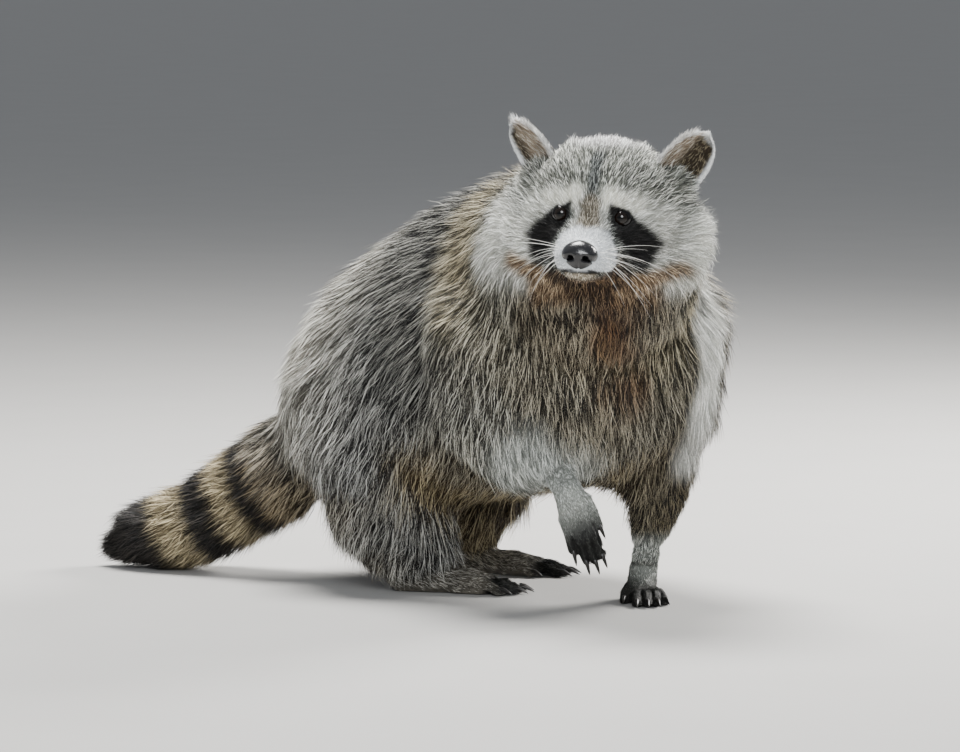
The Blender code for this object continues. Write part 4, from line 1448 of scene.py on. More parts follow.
        roll = rng.normal(0.0, self.rolling, count)
        sideways = unit(beside * np.cos(roll)[:, None] + normal * np.sin(roll)[:, None])
        start = root - normal * self.sunk
        stations = piece.stations
        rows_out, colour_out, uv_out = [], [], []
        uv = self.unwrap(faces, rows, share)
        vary = rng.normal(1.0, self.shading, count)[:, None]
        for t in stations:
            taper = 0.85 if t == 0.0 else 1.0 if t < 1.0 else 0.0
            ahead = length * t * np.cos(lift)
            up = length * np.sin(lift) * (1.5 * t - 0.5 * t * t) - bend * ahead**2 / 2
            spot = start + flow * ahead[:, None] + normal * up[:, None] - spread * (gather * t * t)[:, None]
            spot += beside * (4.0 * t * (1.0 - t) * bow)[:, None]
            spot[:, 2] -= droop * length * t * t
            half = (width * taper / 2)[:, None] * sideways
            palette = own if own is not None else self.markings.palette(spot, normal, shares)
            shade = self.shade(palette, kind, t) * vary
            if t < 1.0:
                rows_out += [spot - half, spot + half]
                colour_out += [shade, shade]
                shift = self.patch / 2 * taper
                rise = self.patch * (t - 0.5)
                uv_out += [uv + np.array([-shift, rise]), uv + np.array([shift, rise])]
            else:
                rows_out.append(spot)
                colour_out.append(shade)
                uv_out.append(uv + np.array([0.0, self.patch / 2]))
        per = len(rows_out)
        points = np.stack(rows_out, 1).reshape(-1, 3)
        points[:, 2] = np.maximum(points[:, 2], self.floor)
        blade = [face for a in range(0, per - 3, 2) for face in ((a, a + 1, a + 3), (a, a + 3, a + 2))]
        blade.append((per - 3, per - 2, per - 1))
        triangles = (np.arange(count)[:, None, None] * per + np.array(blade)).reshape(-1, 3)
        colours = np.stack(colour_out, 1).reshape(-1, 3)
        mesh = mesh_of(piece.name, Shell(points, triangles), colours, np.stack(uv_out, 1).reshape(-1, 2))
        LOG.info("%s: %d blades, %d triangles", piece.name, count, len(triangles))
        return place(piece.name, mesh, material)

    @staticmethod
    def locks(root: Array, size: Array) -> tuple[Array, int]:
        """Gathers roots into locks: each root's lock, and how many there are.

        Args:
            root: The roots.
            size: A lock's size at each.

        Returns:
            The lock of each root, and the count of locks.
        """
        typical = float(np.median(size))
        wobble = np.stack([lattice_noise(root, typical * 1.4, 40 + k) for k in range(3)], 1)
        cell = np.floor((root + wobble * typical * 0.7) / typical).astype(np.int64)
        _, lock = np.unique(cell, axis=0, return_inverse=True)
        lock = lock.reshape(-1)
        return lock, int(lock.max()) + 1

    @staticmethod
    def shade(palette: Array, kind: Array, t: float) -> Array:
        """The colour of each blade at a share t of its length: underfur, dark and pale-tipped hairs, darker
        towards the root as painted shade.

        Args:
            palette: Dark, middle and pale colours.
            kind: A number from 0 to 1 that says which hair it is.
            t: How far along the blade, from 0 to 1.

        Returns:
            A colour for each blade.
        """
        dark, middle, pale = palette[:, 0], palette[:, 1], palette[:, 2]
        soft, tipped = (kind < SOFT)[:, None], (kind > TIPPED)[:, None]
        # painted shade: underfur and dark hairs darken towards the root, and pale-tipped hairs start a little
        # darker, standing in for the shade among the roots
        under = middle * (0.25 + 0.75 * t)
        black = dark * (0.5 + 0.5 * t)
        bright = dark * 0.8 + (pale - dark * 0.8) * min(1.0, max(0.0, t - 0.12) / 0.46)
        return np.where(soft, under, np.where(tipped, bright, black))

    def unwrap(self, faces: Array, rows: Array, share: Array) -> Array:
        """Each root's place on an unwrap of the stretch of skin that its piece grows on.

        Args:
            faces: The stretch of skin.
            rows: Each root's triangle.
            share: Its place in the triangle.

        Returns:
            A place in the bake map for each root.
        """
        shell = self.ground.shell
        part = Shell(shell.points, shell.triangles[faces])
        used, packed = np.unique(part.triangles, return_inverse=True)
        local = Shell(shell.points[used], packed.reshape(-1, 3))
        piece = place("unwrapping", mesh_of("unwrapping", local))
        piece.data.uv_layers.new(name=BAKE_MAP)
        bpy.context.view_layer.objects.active = piece
        piece.select_set(True)
        bpy.ops.object.mode_set(mode="EDIT")
        bpy.ops.mesh.select_all(action="SELECT")
        bpy.ops.uv.smart_project(angle_limit=math.radians(75), island_margin=0.002)
        bpy.ops.object.mode_set(mode="OBJECT")
        flat = np.empty(len(piece.data.loops) * 2, dtype=np.float32)
        piece.data.uv_layers[BAKE_MAP].data.foreach_get("uv", flat)
        flat = flat.reshape(-1, 3, 2)
        bpy.data.objects.remove(piece)
        where = np.empty(len(shell.triangles), dtype=np.int64)
        where[faces] = np.arange(len(faces))
        return np.einsum("nc,nck->nk", share, flat[where[rows]]).clip(0.003, 0.997)


# ---------------------------------------------------------------- eyes and nose
@dataclass
class Eye:
    """An eyeball with its iris and cornea, and the lids round it."""

    head: HeadFrame
    side: float
    radius: float = 6.9
    opening: tuple[float, float] = (4.9, 3.6)
    gaze: tuple[float, float, float] = (-0.02, -1.0, 0.05)
    # Rings of the lids: how many times the opening they are, and how far off the eyeball.
    lid_steps: tuple[tuple[float, float], ...] = (
        (1.00, 0.05),
        (1.03, 0.22),
        (1.07, 0.22),
        (1.12, -0.2),
        (1.20, -1.1),
        (1.34, -2.6),
        (1.50, -4.2),
    )
    rings: int = 40
    spokes: int = 56

    def axes(self) -> tuple[Array, Array, Array, Array]:
        """Centre, gaze, outwards and up, in the head's frame.

        Returns:
            The centre and three directions.
        """
        flip = np.array([self.side, 1.0, 1.0])
        centre = np.array(self.head.eye) * flip + np.array([0.0, 0.4, 0.6])
        ahead = unit(np.array(self.gaze) * flip)
        out = unit(np.cross(ahead, np.array([0.0, 0.0, 1.0])) * -self.side)
        if out[0] * self.side < 0.0:
            out = -out
        up = np.cross(out, ahead)
        if up[2] < 0.0:
            up = -up
        return centre, ahead, out, up

    def ball(self, material: bpy.types.Material) -> bpy.types.Object:
        """The eyeball: black pupil, dark brown iris, a raised cornea.

        Args:
            material: Its finish.

        Returns:
            The piece, which stands for the eye's solid.
        """
        centre, ahead, out, up = self.axes()
        angle = np.linspace(0.0, math.pi, self.rings + 1)[1:-1]
        turn = np.linspace(0.0, 2.0 * math.pi, self.spokes, endpoint=False)
        a, b = np.meshgrid(angle, turn, indexing="ij")
        a = np.concatenate([[0.0], a.ravel(), [math.pi]])
        b = np.concatenate([[0.0], b.ravel(), [0.0]])
        bulge = self.radius + 0.45 * ramp(0.75, 0.35, a)
        round_it = np.cos(b)[:, None] * out + np.sin(b)[:, None] * up
        local = np.cos(a)[:, None] * ahead + np.sin(a)[:, None] * round_it
        points = self.head.outside(centre + local * bulge[:, None])
        faces = []
        n, m = self.rings - 1, self.spokes
        for j in range(m):
            k = (j + 1) % m
            faces.append((0, 1 + j, 1 + k))
            faces.append((len(a) - 1, 1 + (n - 1) * m + k, 1 + (n - 1) * m + j))
            for i in range(n - 1):
                p, q = 1 + i * m + j, 1 + i * m + k
                faces += [(p, p + m, q + m), (p, q + m, q)]
        iris, pupil, rim = tint(20, 14, 10), tint(2, 2, 2), tint(5, 4, 4)
        amount = ramp(0.26, 0.32, a)[:, None]
        colours = pupil + (iris - pupil) * amount
        colours = colours + (rim - colours) * ramp(0.62, 0.72, a)[:, None]
        word = "left" if self.side > 0 else "right"
        shell = Shell(points, np.array(faces))
        if dots(shell.normals(), points - points.mean(0)).mean() < 0.0:
            shell = shell.flipped()
        piece = place(f"eyeball_{word}", mesh_of(f"eyeball_{word}", shell, colours), material)
        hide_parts(f"eye_{word}")
        return piece

    def lids(self) -> Shell:
        """Dark lids: a rim on the eyeball that runs out under the fur.

        Returns:
            The lids, in the row frame.
        """
        centre, ahead, out, up = self.axes()
        turn = np.linspace(0.0, 2.0 * math.pi, 64, endpoint=False)
        wide, tall = self.opening
        rows = []
        for scale, lift in self.lid_steps:
            x = wide * scale * np.sign(np.cos(turn)) * np.abs(np.cos(turn)) ** 0.92
            y = tall * scale * np.sin(turn) + 0.5 * np.cos(turn)
            reach = self.radius + lift
            flat = np.clip((x**2 + y**2) / reach**2, 0.0, 0.97)
            z = reach * np.sqrt(1.0 - flat)
            rows.append(centre + x[:, None] * out + y[:, None] * up + z[:, None] * ahead)
        points = self.head.outside(np.concatenate(rows))
        m, faces = len(turn), []
        for i in range(len(rows) - 1):
            for j in range(m):
                k = (j + 1) % m
                faces += [(i * m + j, i * m + k, i * m + m + k), (i * m + j, i * m + m + k, i * m + m + j)]
        shell = Shell(points, np.array(faces))
        if (shell.normals() @ self.head.direction(ahead)).mean() < 0.0:
            shell = shell.flipped()
        return shell


@dataclass
class Nose:
    """The bare, wet pad, with comma-shaped nostrils and the groove under it."""

    head: HeadFrame
    size: tuple[float, float, float] = (12.2, 9.2, 9.9)
    nostril: tuple[float, float] = (5.2, -1.4)

    def build(self, material: bpy.types.Material) -> bpy.types.Object:
        """Makes the pad.

        Args:
            material: Its finish.

        Returns:
            The piece, which stands for the nose's solid.
        """
        shell = ball(6)
        p = shell.points.copy()
        x, z = p[:, 0].copy(), p[:, 2].copy()
        width = 1.0 - 0.16 * ramp(0.0, -1.0, z) + 0.03 * ramp(0.2, 0.8, z)
        local = np.stack([x * width, p[:, 1], z * (1.0 - 0.08 * np.abs(x))], 1) * np.array(self.size)
        front = ramp(0.15, -0.35, p[:, 1])
        q = np.stack([np.abs(local[:, 0]), local[:, 2]], 1)
        hole = np.linalg.norm((q - np.array(self.nostril)) / np.array([2.3, 1.8]), axis=1)
        slit, _ = segment_distance(q, np.array([5.6, -2.0]), np.array([10.2, -4.6]))
        groove = np.exp(-((q[:, 0] / 0.8) ** 2)) * ramp(2.0, -2.0, q[:, 1])
        pit = 4.2 * np.exp(-(hole**2) * 1.1) + 1.6 * np.exp(-((slit / 0.9) ** 2)) + 0.8 * groove
        wing = 0.9 * np.exp(-((np.linalg.norm(q - np.array([7.6, 1.2]), axis=1) / 3.0) ** 2))
        dark = np.maximum(hole < 0.95, (slit < 0.7) & (hole < 2.2)) & (front > 0.4)
        inward = unit(local * np.array([0.4, 1.0, 0.4]))
        local = local - inward * ((pit - wing) * front)[:, None]
        local = local + np.array(self.head.nose)
        pad = Shell(self.head.outside(local), shell.triangles)
        piece = place("nose_pad", mesh_of("nose_pad", pad), material)
        piece.data.materials.append(NOSTRIL_FINISH.material())
        piece.data.polygons.foreach_set("material_index", dark[shell.triangles].all(1).astype(np.int32))
        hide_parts("nose")
        return piece


# ---------------------------------------------------------------- claws and whiskers
def group_input(tree: bpy.types.NodeTree, name: str, kind: str, value: object = None) -> None:
    """Adds a named input to a node group.

    Args:
        tree: The group.
        name: The input's name.
        kind: Its socket type.
        value: What it is at first.
    """
    socket = tree.interface.new_socket(name, in_out="INPUT", socket_type=kind)
    if value is not None:
        socket.default_value = value


def tapered_tubes(name: str, sides: int, blunt: float, fullness: float = 1.0) -> bpy.types.NodeTree:
    """A node group that turns polylines into pointed tubes.

    Args:
        name: The group's name.
        sides: How many sides a tube has.
        blunt: How wide the point is, as a share of the root.
        fullness: 1 for a straight taper, less for one that narrows mostly near its point.

    Returns:
        The group, with the inputs Radius and Finish; the radius narrows along the line.
    """
    tree = bpy.data.node_groups.new(name, "GeometryNodeTree")
    group_input(tree, "Geometry", "NodeSocketGeometry")
    group_input(tree, "Radius", "NodeSocketFloat", 0.001)
    group_input(tree, "Finish", "NodeSocketMaterial")
    tree.interface.new_socket("Geometry", in_out="OUTPUT", socket_type="NodeSocketGeometry")
    nodes = tree.nodes
    source, sink = nodes.new("NodeGroupInput"), nodes.new("NodeGroupOutput")
    to_curve, to_mesh = nodes.new("GeometryNodeMeshToCurve"), nodes.new("GeometryNodeCurveToMesh")
    circle, radius = nodes.new("GeometryNodeCurvePrimitiveCircle"), nodes.new("GeometryNodeSetCurveRadius")
    along, taper = nodes.new("GeometryNodeSplineParameter"), nodes.new("ShaderNodeMapRange")
    realize, dress = nodes.new("GeometryNodeRealizeInstances"), nodes.new("GeometryNodeSetMaterial")
    smooth = nodes.new("GeometryNodeSetShadeSmooth")
    circle.inputs["Resolution"].default_value = sides
    left, full = nodes.new("ShaderNodeMath"), nodes.new("ShaderNodeMath")
    left.operation, full.operation = "SUBTRACT", "POWER"
    left.inputs[0].default_value = 1.0
    full.inputs[1].default_value = fullness
    taper.inputs["To Min"].default_value = blunt
    taper.inputs["To Max"].default_value = 1.0
    to_mesh.inputs["Fill Caps"].default_value = True
    wires = [
        (source, "Geometry", to_curve, "Mesh"),
        (to_curve, "Curve", radius, "Curve"),
        (along, "Factor", left, 1),
        (left, "Value", full, 0),
        (full, "Value", taper, "Value"),
        (taper, "Result", radius, "Radius"),
        (radius, "Curve", to_mesh, "Curve"),
        (source, "Radius", circle, "Radius"),
        (circle, "Curve", to_mesh, "Profile Curve"),
        (to_mesh, "Mesh", realize, "Geometry"),
        (realize, "Geometry", smooth, "Geometry"),
        (smooth, "Geometry", dress, "Geometry"),
        (source, "Finish", dress, "Material"),
        (dress, "Geometry", sink, "Geometry"),
    ]
    if "Scale" in to_mesh.inputs:
        wires.append((taper, "Result", to_mesh, "Scale"))
    wire(tree, wires)
    return tree


def tubes_along(
    name: str, lines: list[Array], radius: float, tree: bpy.types.NodeTree, material: bpy.types.Material
) -> bpy.types.Object:
    """A piece of pointed tubes along polylines.

    Args:
        name: The piece's name.
        lines: The polylines, from root to point.
        radius: The tubes' radius at the root, in metres.
        tree: What tapered_tubes returned.
        material: Their finish.

    Returns:
        The piece, as a plain mesh.
    """
    points = np.concatenate(lines)
    edges, start = [], 0
    for line in lines:
        edges += [(start + k, start + k + 1) for k in range(len(line) - 1)]
        start += len(line)
    guide = bpy.data.meshes.new(name)
    guide.from_pydata(points.tolist(), edges, [])
    piece = place(name, guide)
    step = piece.modifiers.new("tubes", "NODES")
    step.node_group = tree
    names = {item.name: item.identifier for item in tree.interface.items_tree if item.in_out == "INPUT"}
    step[names["Radius"]] = radius
    step[names["Finish"]] = material
    mesh = evaluated_mesh(piece)
    piece.modifiers.clear()
    piece.data = mesh
    return piece


@dataclass
class Claws:
    """A curved, tapered claw on every toe, where its solid is."""

    nodes: dict[str, bpy.types.Object]
    radius: float = 1.7 * MM

    def line(self, name: str) -> Array:
        """The claw's middle line, from inside the toe to its point.

        Args:
            name: The claw's solid.

        Returns:
            The line, root first.
        """
        points = Shell.read(self.nodes[name].data).merged().points
        spread = np.linalg.norm(points - points.mean(0), axis=1)
        tip = points[np.argmax(spread)]
        order = np.argsort(-np.linalg.norm(points - tip, axis=1))
        root = points[order[:5]].mean(0)
        middle = points[order[5:10]].mean(0)
        t = np.linspace(0.0, 1.0, 9)[:, None]
        curve = (1 - t) ** 2 * root + 2 * t * (1 - t) * (2 * middle - (root + tip) / 2) + t**2 * tip
        return np.concatenate([[root + (root - curve[1]) * 1.6], curve])

    def build(self, material: bpy.types.Material) -> list[bpy.types.Object]:
        """All the claws, one piece for each paw.

        Args:
            material: Its finish.

        Returns:
            The pieces.
        """
        tree = tapered_tubes("claw_tubes", 10, 0.10, 0.6)
        made = []
        for paw in PAWS:
            names = [f"claw_{paw}_{k}" for k in range(1, 6)]
            piece = tubes_along(f"claws_{paw}", [self.line(n) for n in names], self.radius, tree, material)
            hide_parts(*names)
            made.append(piece)
        return made


@dataclass
class Whiskers:
    """Long pale whiskers from the pads of the muzzle, and a few over the eyes."""

    head: HeadFrame
    surface: BVHTree
    rows: int = 4
    each: int = 3  # whiskers in a row, and over each eye
    radius: float = 0.13 * MM

    def root(self, spot: Array) -> Array:
        """The skin's nearest place to one in the head's frame."""
        near = self.surface.find_nearest(Vector(self.head.outside(spot)))[0]
        return self.head.inside(np.array(near)[None])[0]

    def line(self, root: Array, out: Array, length: float, sag: float) -> Array:
        """One arching whisker in the row frame.

        Args:
            root: Where it starts.
            out: Which way it leaves the skin.
            length: Its length in millimetres.
            sag: How far it droops, as a share of its length.

        Returns:
            Twelve places along it.
        """
        t = np.linspace(0.0, 1.0, 12)[:, None]
        local = root + out * length * t + np.array([0.0, 0.0, -1.0]) * sag * length * t**2
        local = local + np.array([0.0, 1.0, 0.0]) * 0.42 * length * t**2
        return self.head.outside(local)

    def build(self, material: bpy.types.Material) -> bpy.types.Object:
        """All the whiskers as one piece.

        Args:
            material: Its finish.

        Returns:
            The piece.
        """
        rng = np.random.default_rng(SEED + 90)
        lines = []
        for side in (1.0, -1.0):
            for row in range(self.rows):
                for k in range(self.each):
                    height = -3.5 - 2.9 * row + rng.normal(0, 0.6)
                    root = self.root(np.array([side * (13.0 + 2.4 * k), -78.0 + 5.0 * k, height]))
                    slope = 0.20 - 0.24 * row + rng.normal(0.0, 0.09)
                    backward = -0.12 + 0.2 * k / 3 + rng.normal(0, 0.05)
                    out = unit(np.array([side * (1.0 - 0.06 * row), backward, slope]))
                    length = rng.uniform(24.0, 48.0) * (1.0 - 0.08 * row)
                    lines.append(self.line(root, out, length, 0.26 + 0.10 * row + rng.normal(0.0, 0.06)))
            for k in range(self.each):
                root = self.root(np.array([side * (17.0 + 3.0 * k), -50.0, 28.0]))
                out = unit(np.array([side * (0.45 + 0.1 * k), -0.45, 0.75]))
                lines.append(self.line(root, out, rng.uniform(17.0, 24.0), 0.12))
        tree = tapered_tubes("whisker_tubes", 5, 0.12)
        piece = tubes_along("whiskers", lines, self.radius, tree, material)
        return piece


# ---------------------------------------------------------------- stage
@dataclass
class Stage:
    """Plain pale floor, soft light and the camera."""

    azimuth: float = -45.0
    elevation: float = 5.0
    distance: float = 3.7794  # from the nose
    lens: float = 214.3
    aim_right: float = 0.0661  # the nose from the middle of the view
    aim_up: float = 0.0801
    floor_reach: float = 40.0
    sky: tuple[float, float, float, float] = (0.80, 0.84, 0.90, 1.0)
    sky_strength: float = 0.5

    def camera(self) -> None:
        """Stands the camera off to the raccoon's right front, a little above the floor."""
        azimuth, elevation = math.radians(self.azimuth), math.radians(self.elevation)
        right = Vector((math.cos(azimuth), math.sin(azimuth), 0.0))
        level = Vector((math.sin(azimuth), -math.cos(azimuth), 0.0)) * math.cos(elevation)
        back = level + Vector((0.0, 0.0, math.sin(elevation)))
        up = back.cross(right)
        nose = Vector(cell_centre("nose"))
        data = bpy.data.cameras.new("camera")
        data.lens, data.sensor_width = self.lens, 36.0
        camera = bpy.data.objects.new("camera", data)
        camera.matrix_world = Matrix((right, up, back)).transposed().to_4x4()
        camera.location = nose - right * self.aim_right - up * self.aim_up + back * self.distance
        data.clip_start, data.clip_end = 0.1, 60.0
        bpy.context.scene.collection.objects.link(camera)
        bpy.context.scene.camera = camera

    def lamp(self, name: str, spot: tuple, size: float, power: float, colour: tuple) -> None:
        """A soft round lamp that faces the raccoon.

        Args:
            name: Its name.
            spot: Where it is.
            size: How wide it is.
            power: Its power in watts.
            colour: Its linear colour.
        """
        data = bpy.data.lights.new(name, "AREA")
        data.shape = "DISK"
        data.size, data.energy, data.color = size, power, colour
        lamp = bpy.data.objects.new(name, data)
        lamp.location = spot
        lamp.rotation_mode = "QUATERNION"
        lamp.rotation_quaternion = (Vector(spot) - Vector((0.0, 0.0, 0.15))).to_track_quat("Z", "Y")
        bpy.context.scene.collection.objects.link(lamp)

    def build(self) -> None:
        """Floor, lamps, sky and camera."""
        far = self.floor_reach
        corners = [(-far, -far, 0), (far, -far, 0), (far, far, 0), (-far, far, 0)]
        mesh = bpy.data.meshes.new("floor")
        mesh.from_pydata(corners, [], [(0, 1, 2, 3)])
        floor = place("floor", mesh, FLOOR_FINISH.material())
        self.lamp("overhead", (0.1, 0.4, 2.2), size=1.1, power=160.0, colour=(1.0, 0.985, 0.96))
        self.lamp("front_fill", (-1.9, -1.9, 1.2), size=1.2, power=62.0, colour=(0.97, 0.99, 1.0))
        self.lamp("left_rim", (1.6, -0.25, 1.15), size=0.8, power=100.0, colour=(1.0, 0.975, 0.94))
        world = bpy.data.worlds.new("studio")
        world.use_nodes = True
        sky = world.node_tree.nodes["Background"]
        sky.inputs["Color"].default_value = self.sky
        sky.inputs["Strength"].default_value = self.sky_strength
        bpy.context.scene.world = world
        self.camera()


# ---------------------------------------------------------------- putting it together
@dataclass
class Raccoon:
    """Builds the pieces in order."""

    nodes: dict[str, bpy.types.Object]
    body: BodyMap
    head: HeadFrame = field(default_factory=HeadFrame.measured)

    def build(self) -> None:
        """Makes, dresses and declares every piece."""
        markings = Markings(self.head)
        maker = Skin(self.head, self.body)
        skin = maker.build(self.nodes)
        shares = self.body.shares(skin.points)
        normals = skin.normals()
        palette = markings.palette(skin.points, normals, shares)
        flow = Lie(self.head).flow(skin, shares)
        self.lay_skin(skin, shares, palette)
        ground = self.ground(skin, normals, flow, shares, maker.main)
        coat = Coat(ground, markings, 1.0)
        for piece in coat.build(COAT_FINISH.material()):
            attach(piece, "root")
        self.lay_ears(coat)
        self.features(skin)

    def lay_skin(self, skin: Shell, shares: Array, palette: Array) -> None:
        """The skin's own piece, coloured as the roots of the coat are: dark, partly its own colour and partly
        painted shade among the roots.

        Args:
            skin: The skin.
            shares: Its corners' shares of PARTS.
            palette: Its colours.
        """
        bare = share_of(shares, *PAWS)[:, None]
        # painted shade: the skin under the coat takes the darkened root colours of the hairs, partly the
        # skin's own dark colour and partly the shade among the roots; the bare paws are a little paler
        under = palette[:, 0] * 0.55 + palette[:, 1] * 0.25
        colours = under * (1.0 - bare) + (palette[:, 0] * 0.45 + palette[:, 1] * 0.45) * bare
        lids = [Eye(self.head, side).lids() for side in (1.0, -1.0)]
        whole = Shell.joined([skin, *lids])
        rim = np.tile(np.array(LID_FINISH.colour), (sum(len(s.points) for s in lids), 1))
        mesh = mesh_of("skin", whole, np.concatenate([colours, rim]))
        mesh.materials.append(SKIN_FINISH.material())
        mesh.materials.append(PAW_FINISH.material())
        mesh.materials.append(LID_FINISH.material())
        kind = np.zeros(len(whole.triangles), dtype=np.int32)
        first = skin.triangles[:, 0]
        kind[: len(first)] = (bare[first, 0] > 0.5).astype(np.int32)
        kind[len(first) :] = 2
        mesh.polygons.foreach_set("material_index", kind[: len(mesh.polygons)])
        piece = place("skin", mesh)
        thin = piece.modifiers.new("thin", "DECIMATE")
        thin.ratio = min(1.0, SKIN_TRIANGLES / len(mesh.polygons))
        slim = evaluated_mesh(piece)
        piece.modifiers.remove(thin)
        piece.data = slim
        slim.name = "skin"
        LOG.info("skin: %d triangles after thinning", len(slim.polygons))
        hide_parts(*PARTS)
        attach(piece, "root")

    def ground(self, skin: Shell, normals: Array, flow: Array, shares: Array, main: int) -> Ground:
        """What the coat needs of the skin: length and thickness of the hair at each corner.

        Args:
            skin: The skin.
            normals: Its outward directions.
            flow: Which way the hairs run.
            shares: Its corners' shares of PARTS.
            main: How many of its corners aren't a paw's.

        Returns:
            The skin, ready for the coat.
        """
        p = self.head.inside(skin.points)
        q = mirrored(p)
        face = share_of(shares, "head")
        length = self.lengths(skin.points, shares, main)
        density = 1.0 / np.maximum(length, 2.2) ** 0.55
        eye = np.array(self.head.eye)
        off_eye = q - np.array([eye[0], eye[1] - 6.0, eye[2] + 0.6])
        away = np.linalg.norm(off_eye * np.array([1.0, 1.0, 1.2]), axis=1)
        density = density * (1.0 + 1.2 * face * ramp(14.0, 8.0, away)) * ramp(4.3, 5.0, away)
        length = length * (0.42 + 0.58 * ramp(5.0, 14.0, away))
        top = face * ramp(47.0, 56.0, p[:, 2])
        length = length * (1.0 - 0.12 * top + 0.55 * top * ramp(16.0, 30.0, q[:, 0]))
        density = self.thinned(density, skin.points, normals, shares, main)
        lift = worn(shares, "lift") + 11.0 * top
        bend = skin.averaged(np.clip(skin.bending(flow), -12.0, 30.0)[:, None], 12)[:, 0]
        return Ground(skin, normals, flow, shares, length * MM, density, lift, bend)

    def lengths(self, points: Array, shares: Array, main: int) -> Array:
        """How long the hair is, apart from round the eyes and on the crown.

        Args:
            points: The skin's corners.
            shares: Their shares of PARTS.
            main: How many of them aren't a paw's.

        Returns:
            A length for each corner, in millimetres.
        """
        z = points[:, 2]
        length = worn(shares, "length")
        grown = face_scale(self.head.inside(points)) ** 1.15
        length = length + share_of(shares, "head") * (2.2 + 21.0 * grown - WEAR["head"].length)
        length = length - 8.0 * share_of(shares, "forearm_left") * ramp(0.064, 0.040, z)
        length = length - 6.0 * slimmer(points, shares)
        tip = share_of(shares, "tail_tip") * ramp(0.10, -0.02, Markings(self.head).tail_place(points))
        length = length * (1.0 - 0.3 * tip)
        length = length + 3.0 * share_of(shares, "forepaw_left") * ramp(0.010, 0.022, z)
        wrist = self.body.away("forepaw_left", points[:main], 32.0 * MM)
        length[:main] *= 1.0 - 0.4 * ramp(30.0 * MM, 12.0 * MM, wrist)
        for name in ("forepaw_left", "forepaw_right"):
            near = self.body.away(name, points[main:], 40.0 * MM)
            length[main:] = np.minimum(length[main:], 3.6 + 0.12 * near / MM)
        return length

    def thinned(self, density: Array, points: Array, normals: Array, shares: Array, main: int) -> Array:
        """The hair's density, less at the mouth, nose, soles and floor, and under the paws' sleeves.

        Args:
            density: What it is before.
            points: The skin's corners.
            normals: The skin's outward directions.
            shares: The corners' shares of PARTS.
            main: How many corners aren't a paw's.

        Returns:
            A density for each corner.
        """
        p = self.head.inside(points)
        q = mirrored(p)
        face, mouth = share_of(shares, "head"), Markings.mouth_distance(p)
        density = density * (1.0 - 0.85 * face * ramp(2.2, 1.0, mouth) * ramp(15.0, 10.0, q[:, 0]))
        pad = np.linalg.norm((q - np.array(self.head.nose)) / np.array([12.5, 12.5, 10.5]), axis=1)
        density = density * ramp(0.92, 1.04, pad)
        toes = unit(toe_centre("forepaw_right") - cell_centre("forepaw_right"))
        palm = -unit(np.cross(toes, np.cross(np.array([0.0, -1.0, 0.0]), toes)))
        lifted = share_of(shares, "forepaw_right") > 0.4
        bottom = np.where(lifted, normals @ palm, -normals[:, 2])
        density = density * (1.0 - share_of(shares, *PAWS) * ramp(0.0, 0.4, bottom))
        density = density * ramp(0.4 * MM, 2.5 * MM, points[:, 2])
        for name in PAWS:
            clear = 4.0 if name == "forepaw_right" else 9.0
            near = self.body.away(name, points[:main], 15.0 * MM)
            density[:main] *= ramp(clear * MM, (clear + 4.0) * MM, near)
        for part in ("head", "neck"):
            density = density * (1.0 + 0.25 * share_of(shares, part))
        return density

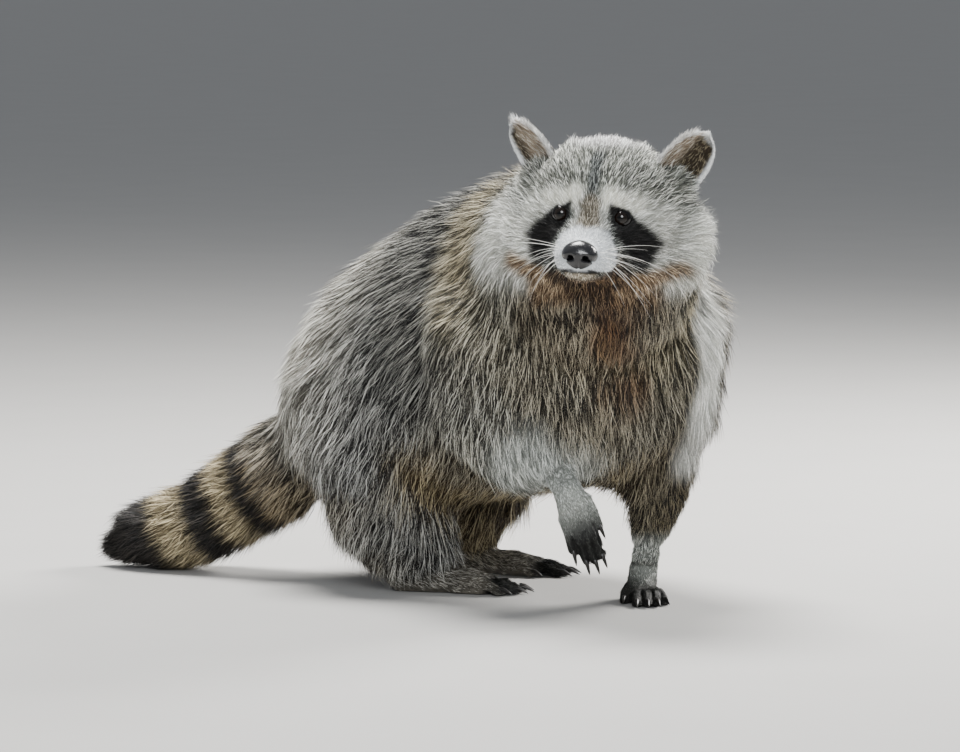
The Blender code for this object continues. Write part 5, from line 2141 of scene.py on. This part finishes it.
    def lay_ears(self, coat: Coat) -> None:
        """Both ears with their own short fur, white rims and the long hairs inside.

        Args:
            coat: The coat of the body.
        """
        for side, word in ((1.0, "left"), (-1.0, "right")):
            ear = Ear(self.head, side)
            shell, cupped = ear.build()
            count = len(shell.points)
            nu, nv = ear.across_steps, ear.up_steps
            u = np.tile(np.repeat(np.linspace(-1.0, 1.0, nu), nv), 2)
            v = np.tile(np.tile(np.linspace(0.0, 1.0, nv) ** 0.9, nu), 2)
            rim = np.maximum(ramp(0.72, 0.92, u), ramp(0.84, 0.96, v)) * ramp(0.0, 0.12, v)
            rim = np.maximum(rim, 0.7 * ramp(-0.90, -1.0, u))
            inside, back, edge = Tone.EAR_IN.colours(), Tone.EAR_BACK.colours(), Tone.EAR_RIM.colours()
            palette = np.where(cupped[:, None, None] > 0.5, inside, back)
            # painted shade: the left ear's cup keeps more of the dark inner tone and less tan than the
            # right's, standing in for the shade in that cup
            shift = -0.30 if side > 0 else 0.35
            inner = (1.0 - ramp(shift - 0.15, shift + 0.40, u + 0.15 * v)) * cupped
            palette = palette + (Tone.EAR_TAN.colours() - palette) * inner[:, None, None]
            palette = palette + (edge - palette) * rim[:, None, None]
            # the ear's skin is darker than its hair, partly its own colour and partly painted shade among the
            # roots, as on the body
            colours = palette[:, 0] * 0.5 + palette[:, 1] * 0.35
            mesh = mesh_of(f"ear_shell_{word}", shell, colours)
            piece = place(f"ear_shell_{word}", mesh, SKIN_FINISH.material())
            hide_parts(f"ear_{word}")
            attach(piece, "root")
            _, across, _, up, _ = ear.frame()
            flow = self.head.direction(up + across * 0.35 * u[:, None] * rim[:, None])
            flow = np.broadcast_to(flow, shell.points.shape)
            normals = shell.normals()
            flow = unit(flattened(flow, normals))
            shares = np.zeros((count, len(PARTS)))
            shares[:, PARTS.index("head")] = 1.0
            length = np.where(cupped > 0.5, 4.5 + 4.5 * inner, 4.5) - 2.0 * rim
            density = 0.8 + 1.5 * rim + 0.8 * (1.0 - cupped)
            lift = 14.0 + 4.0 * inner
            flat = np.zeros(count)
            ground = Ground(shell, normals, flow, shares, length * MM, density, lift, flat, palette)
            fur = Coat(ground, coat.markings, coat.thin_out)
            spec = CoatPiece(f"coat_ear_{word}", (), 8000, (0.0, 0.55, 1.0))
            rng = np.random.default_rng(SEED + 60 + int(side))
            made = fur.piece(spec, np.arange(len(shell.triangles)), rng, COAT_FINISH.material())
            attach(made, "root")

    def features(self, skin: Shell) -> None:
        """Eyes, nose, claws and whiskers.

        Args:
            skin: The skin.
        """
        wet = EYE_FINISH.material()
        made = [Eye(self.head, side).ball(wet) for side in (1.0, -1.0)]
        made.append(Nose(self.head).build(NOSE_FINISH.material()))
        made += Claws(self.nodes).build(CLAW_FINISH.material())
        close = np.linalg.norm(self.head.inside(skin.points), axis=1) < 110.0
        face = skin.kept(close)
        made.append(Whiskers(self.head, face.tree()).build(WHISKER_FINISH.material()))
        for piece in made:
            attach(piece, "root")
            LOG.info("%s: %d faces", piece.name, len(piece.data.polygons))


def main() -> None:
    """Builds the raccoon and its stage."""
    logging.basicConfig(level=logging.INFO, format="%(name)s: %(message)s", stream=sys.stdout)
    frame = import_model()
    Raccoon(frame["nodes"], BodyMap(frame["nodes"])).build()
    Stage().build()
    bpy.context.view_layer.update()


if __name__ == "__main__":
    main()
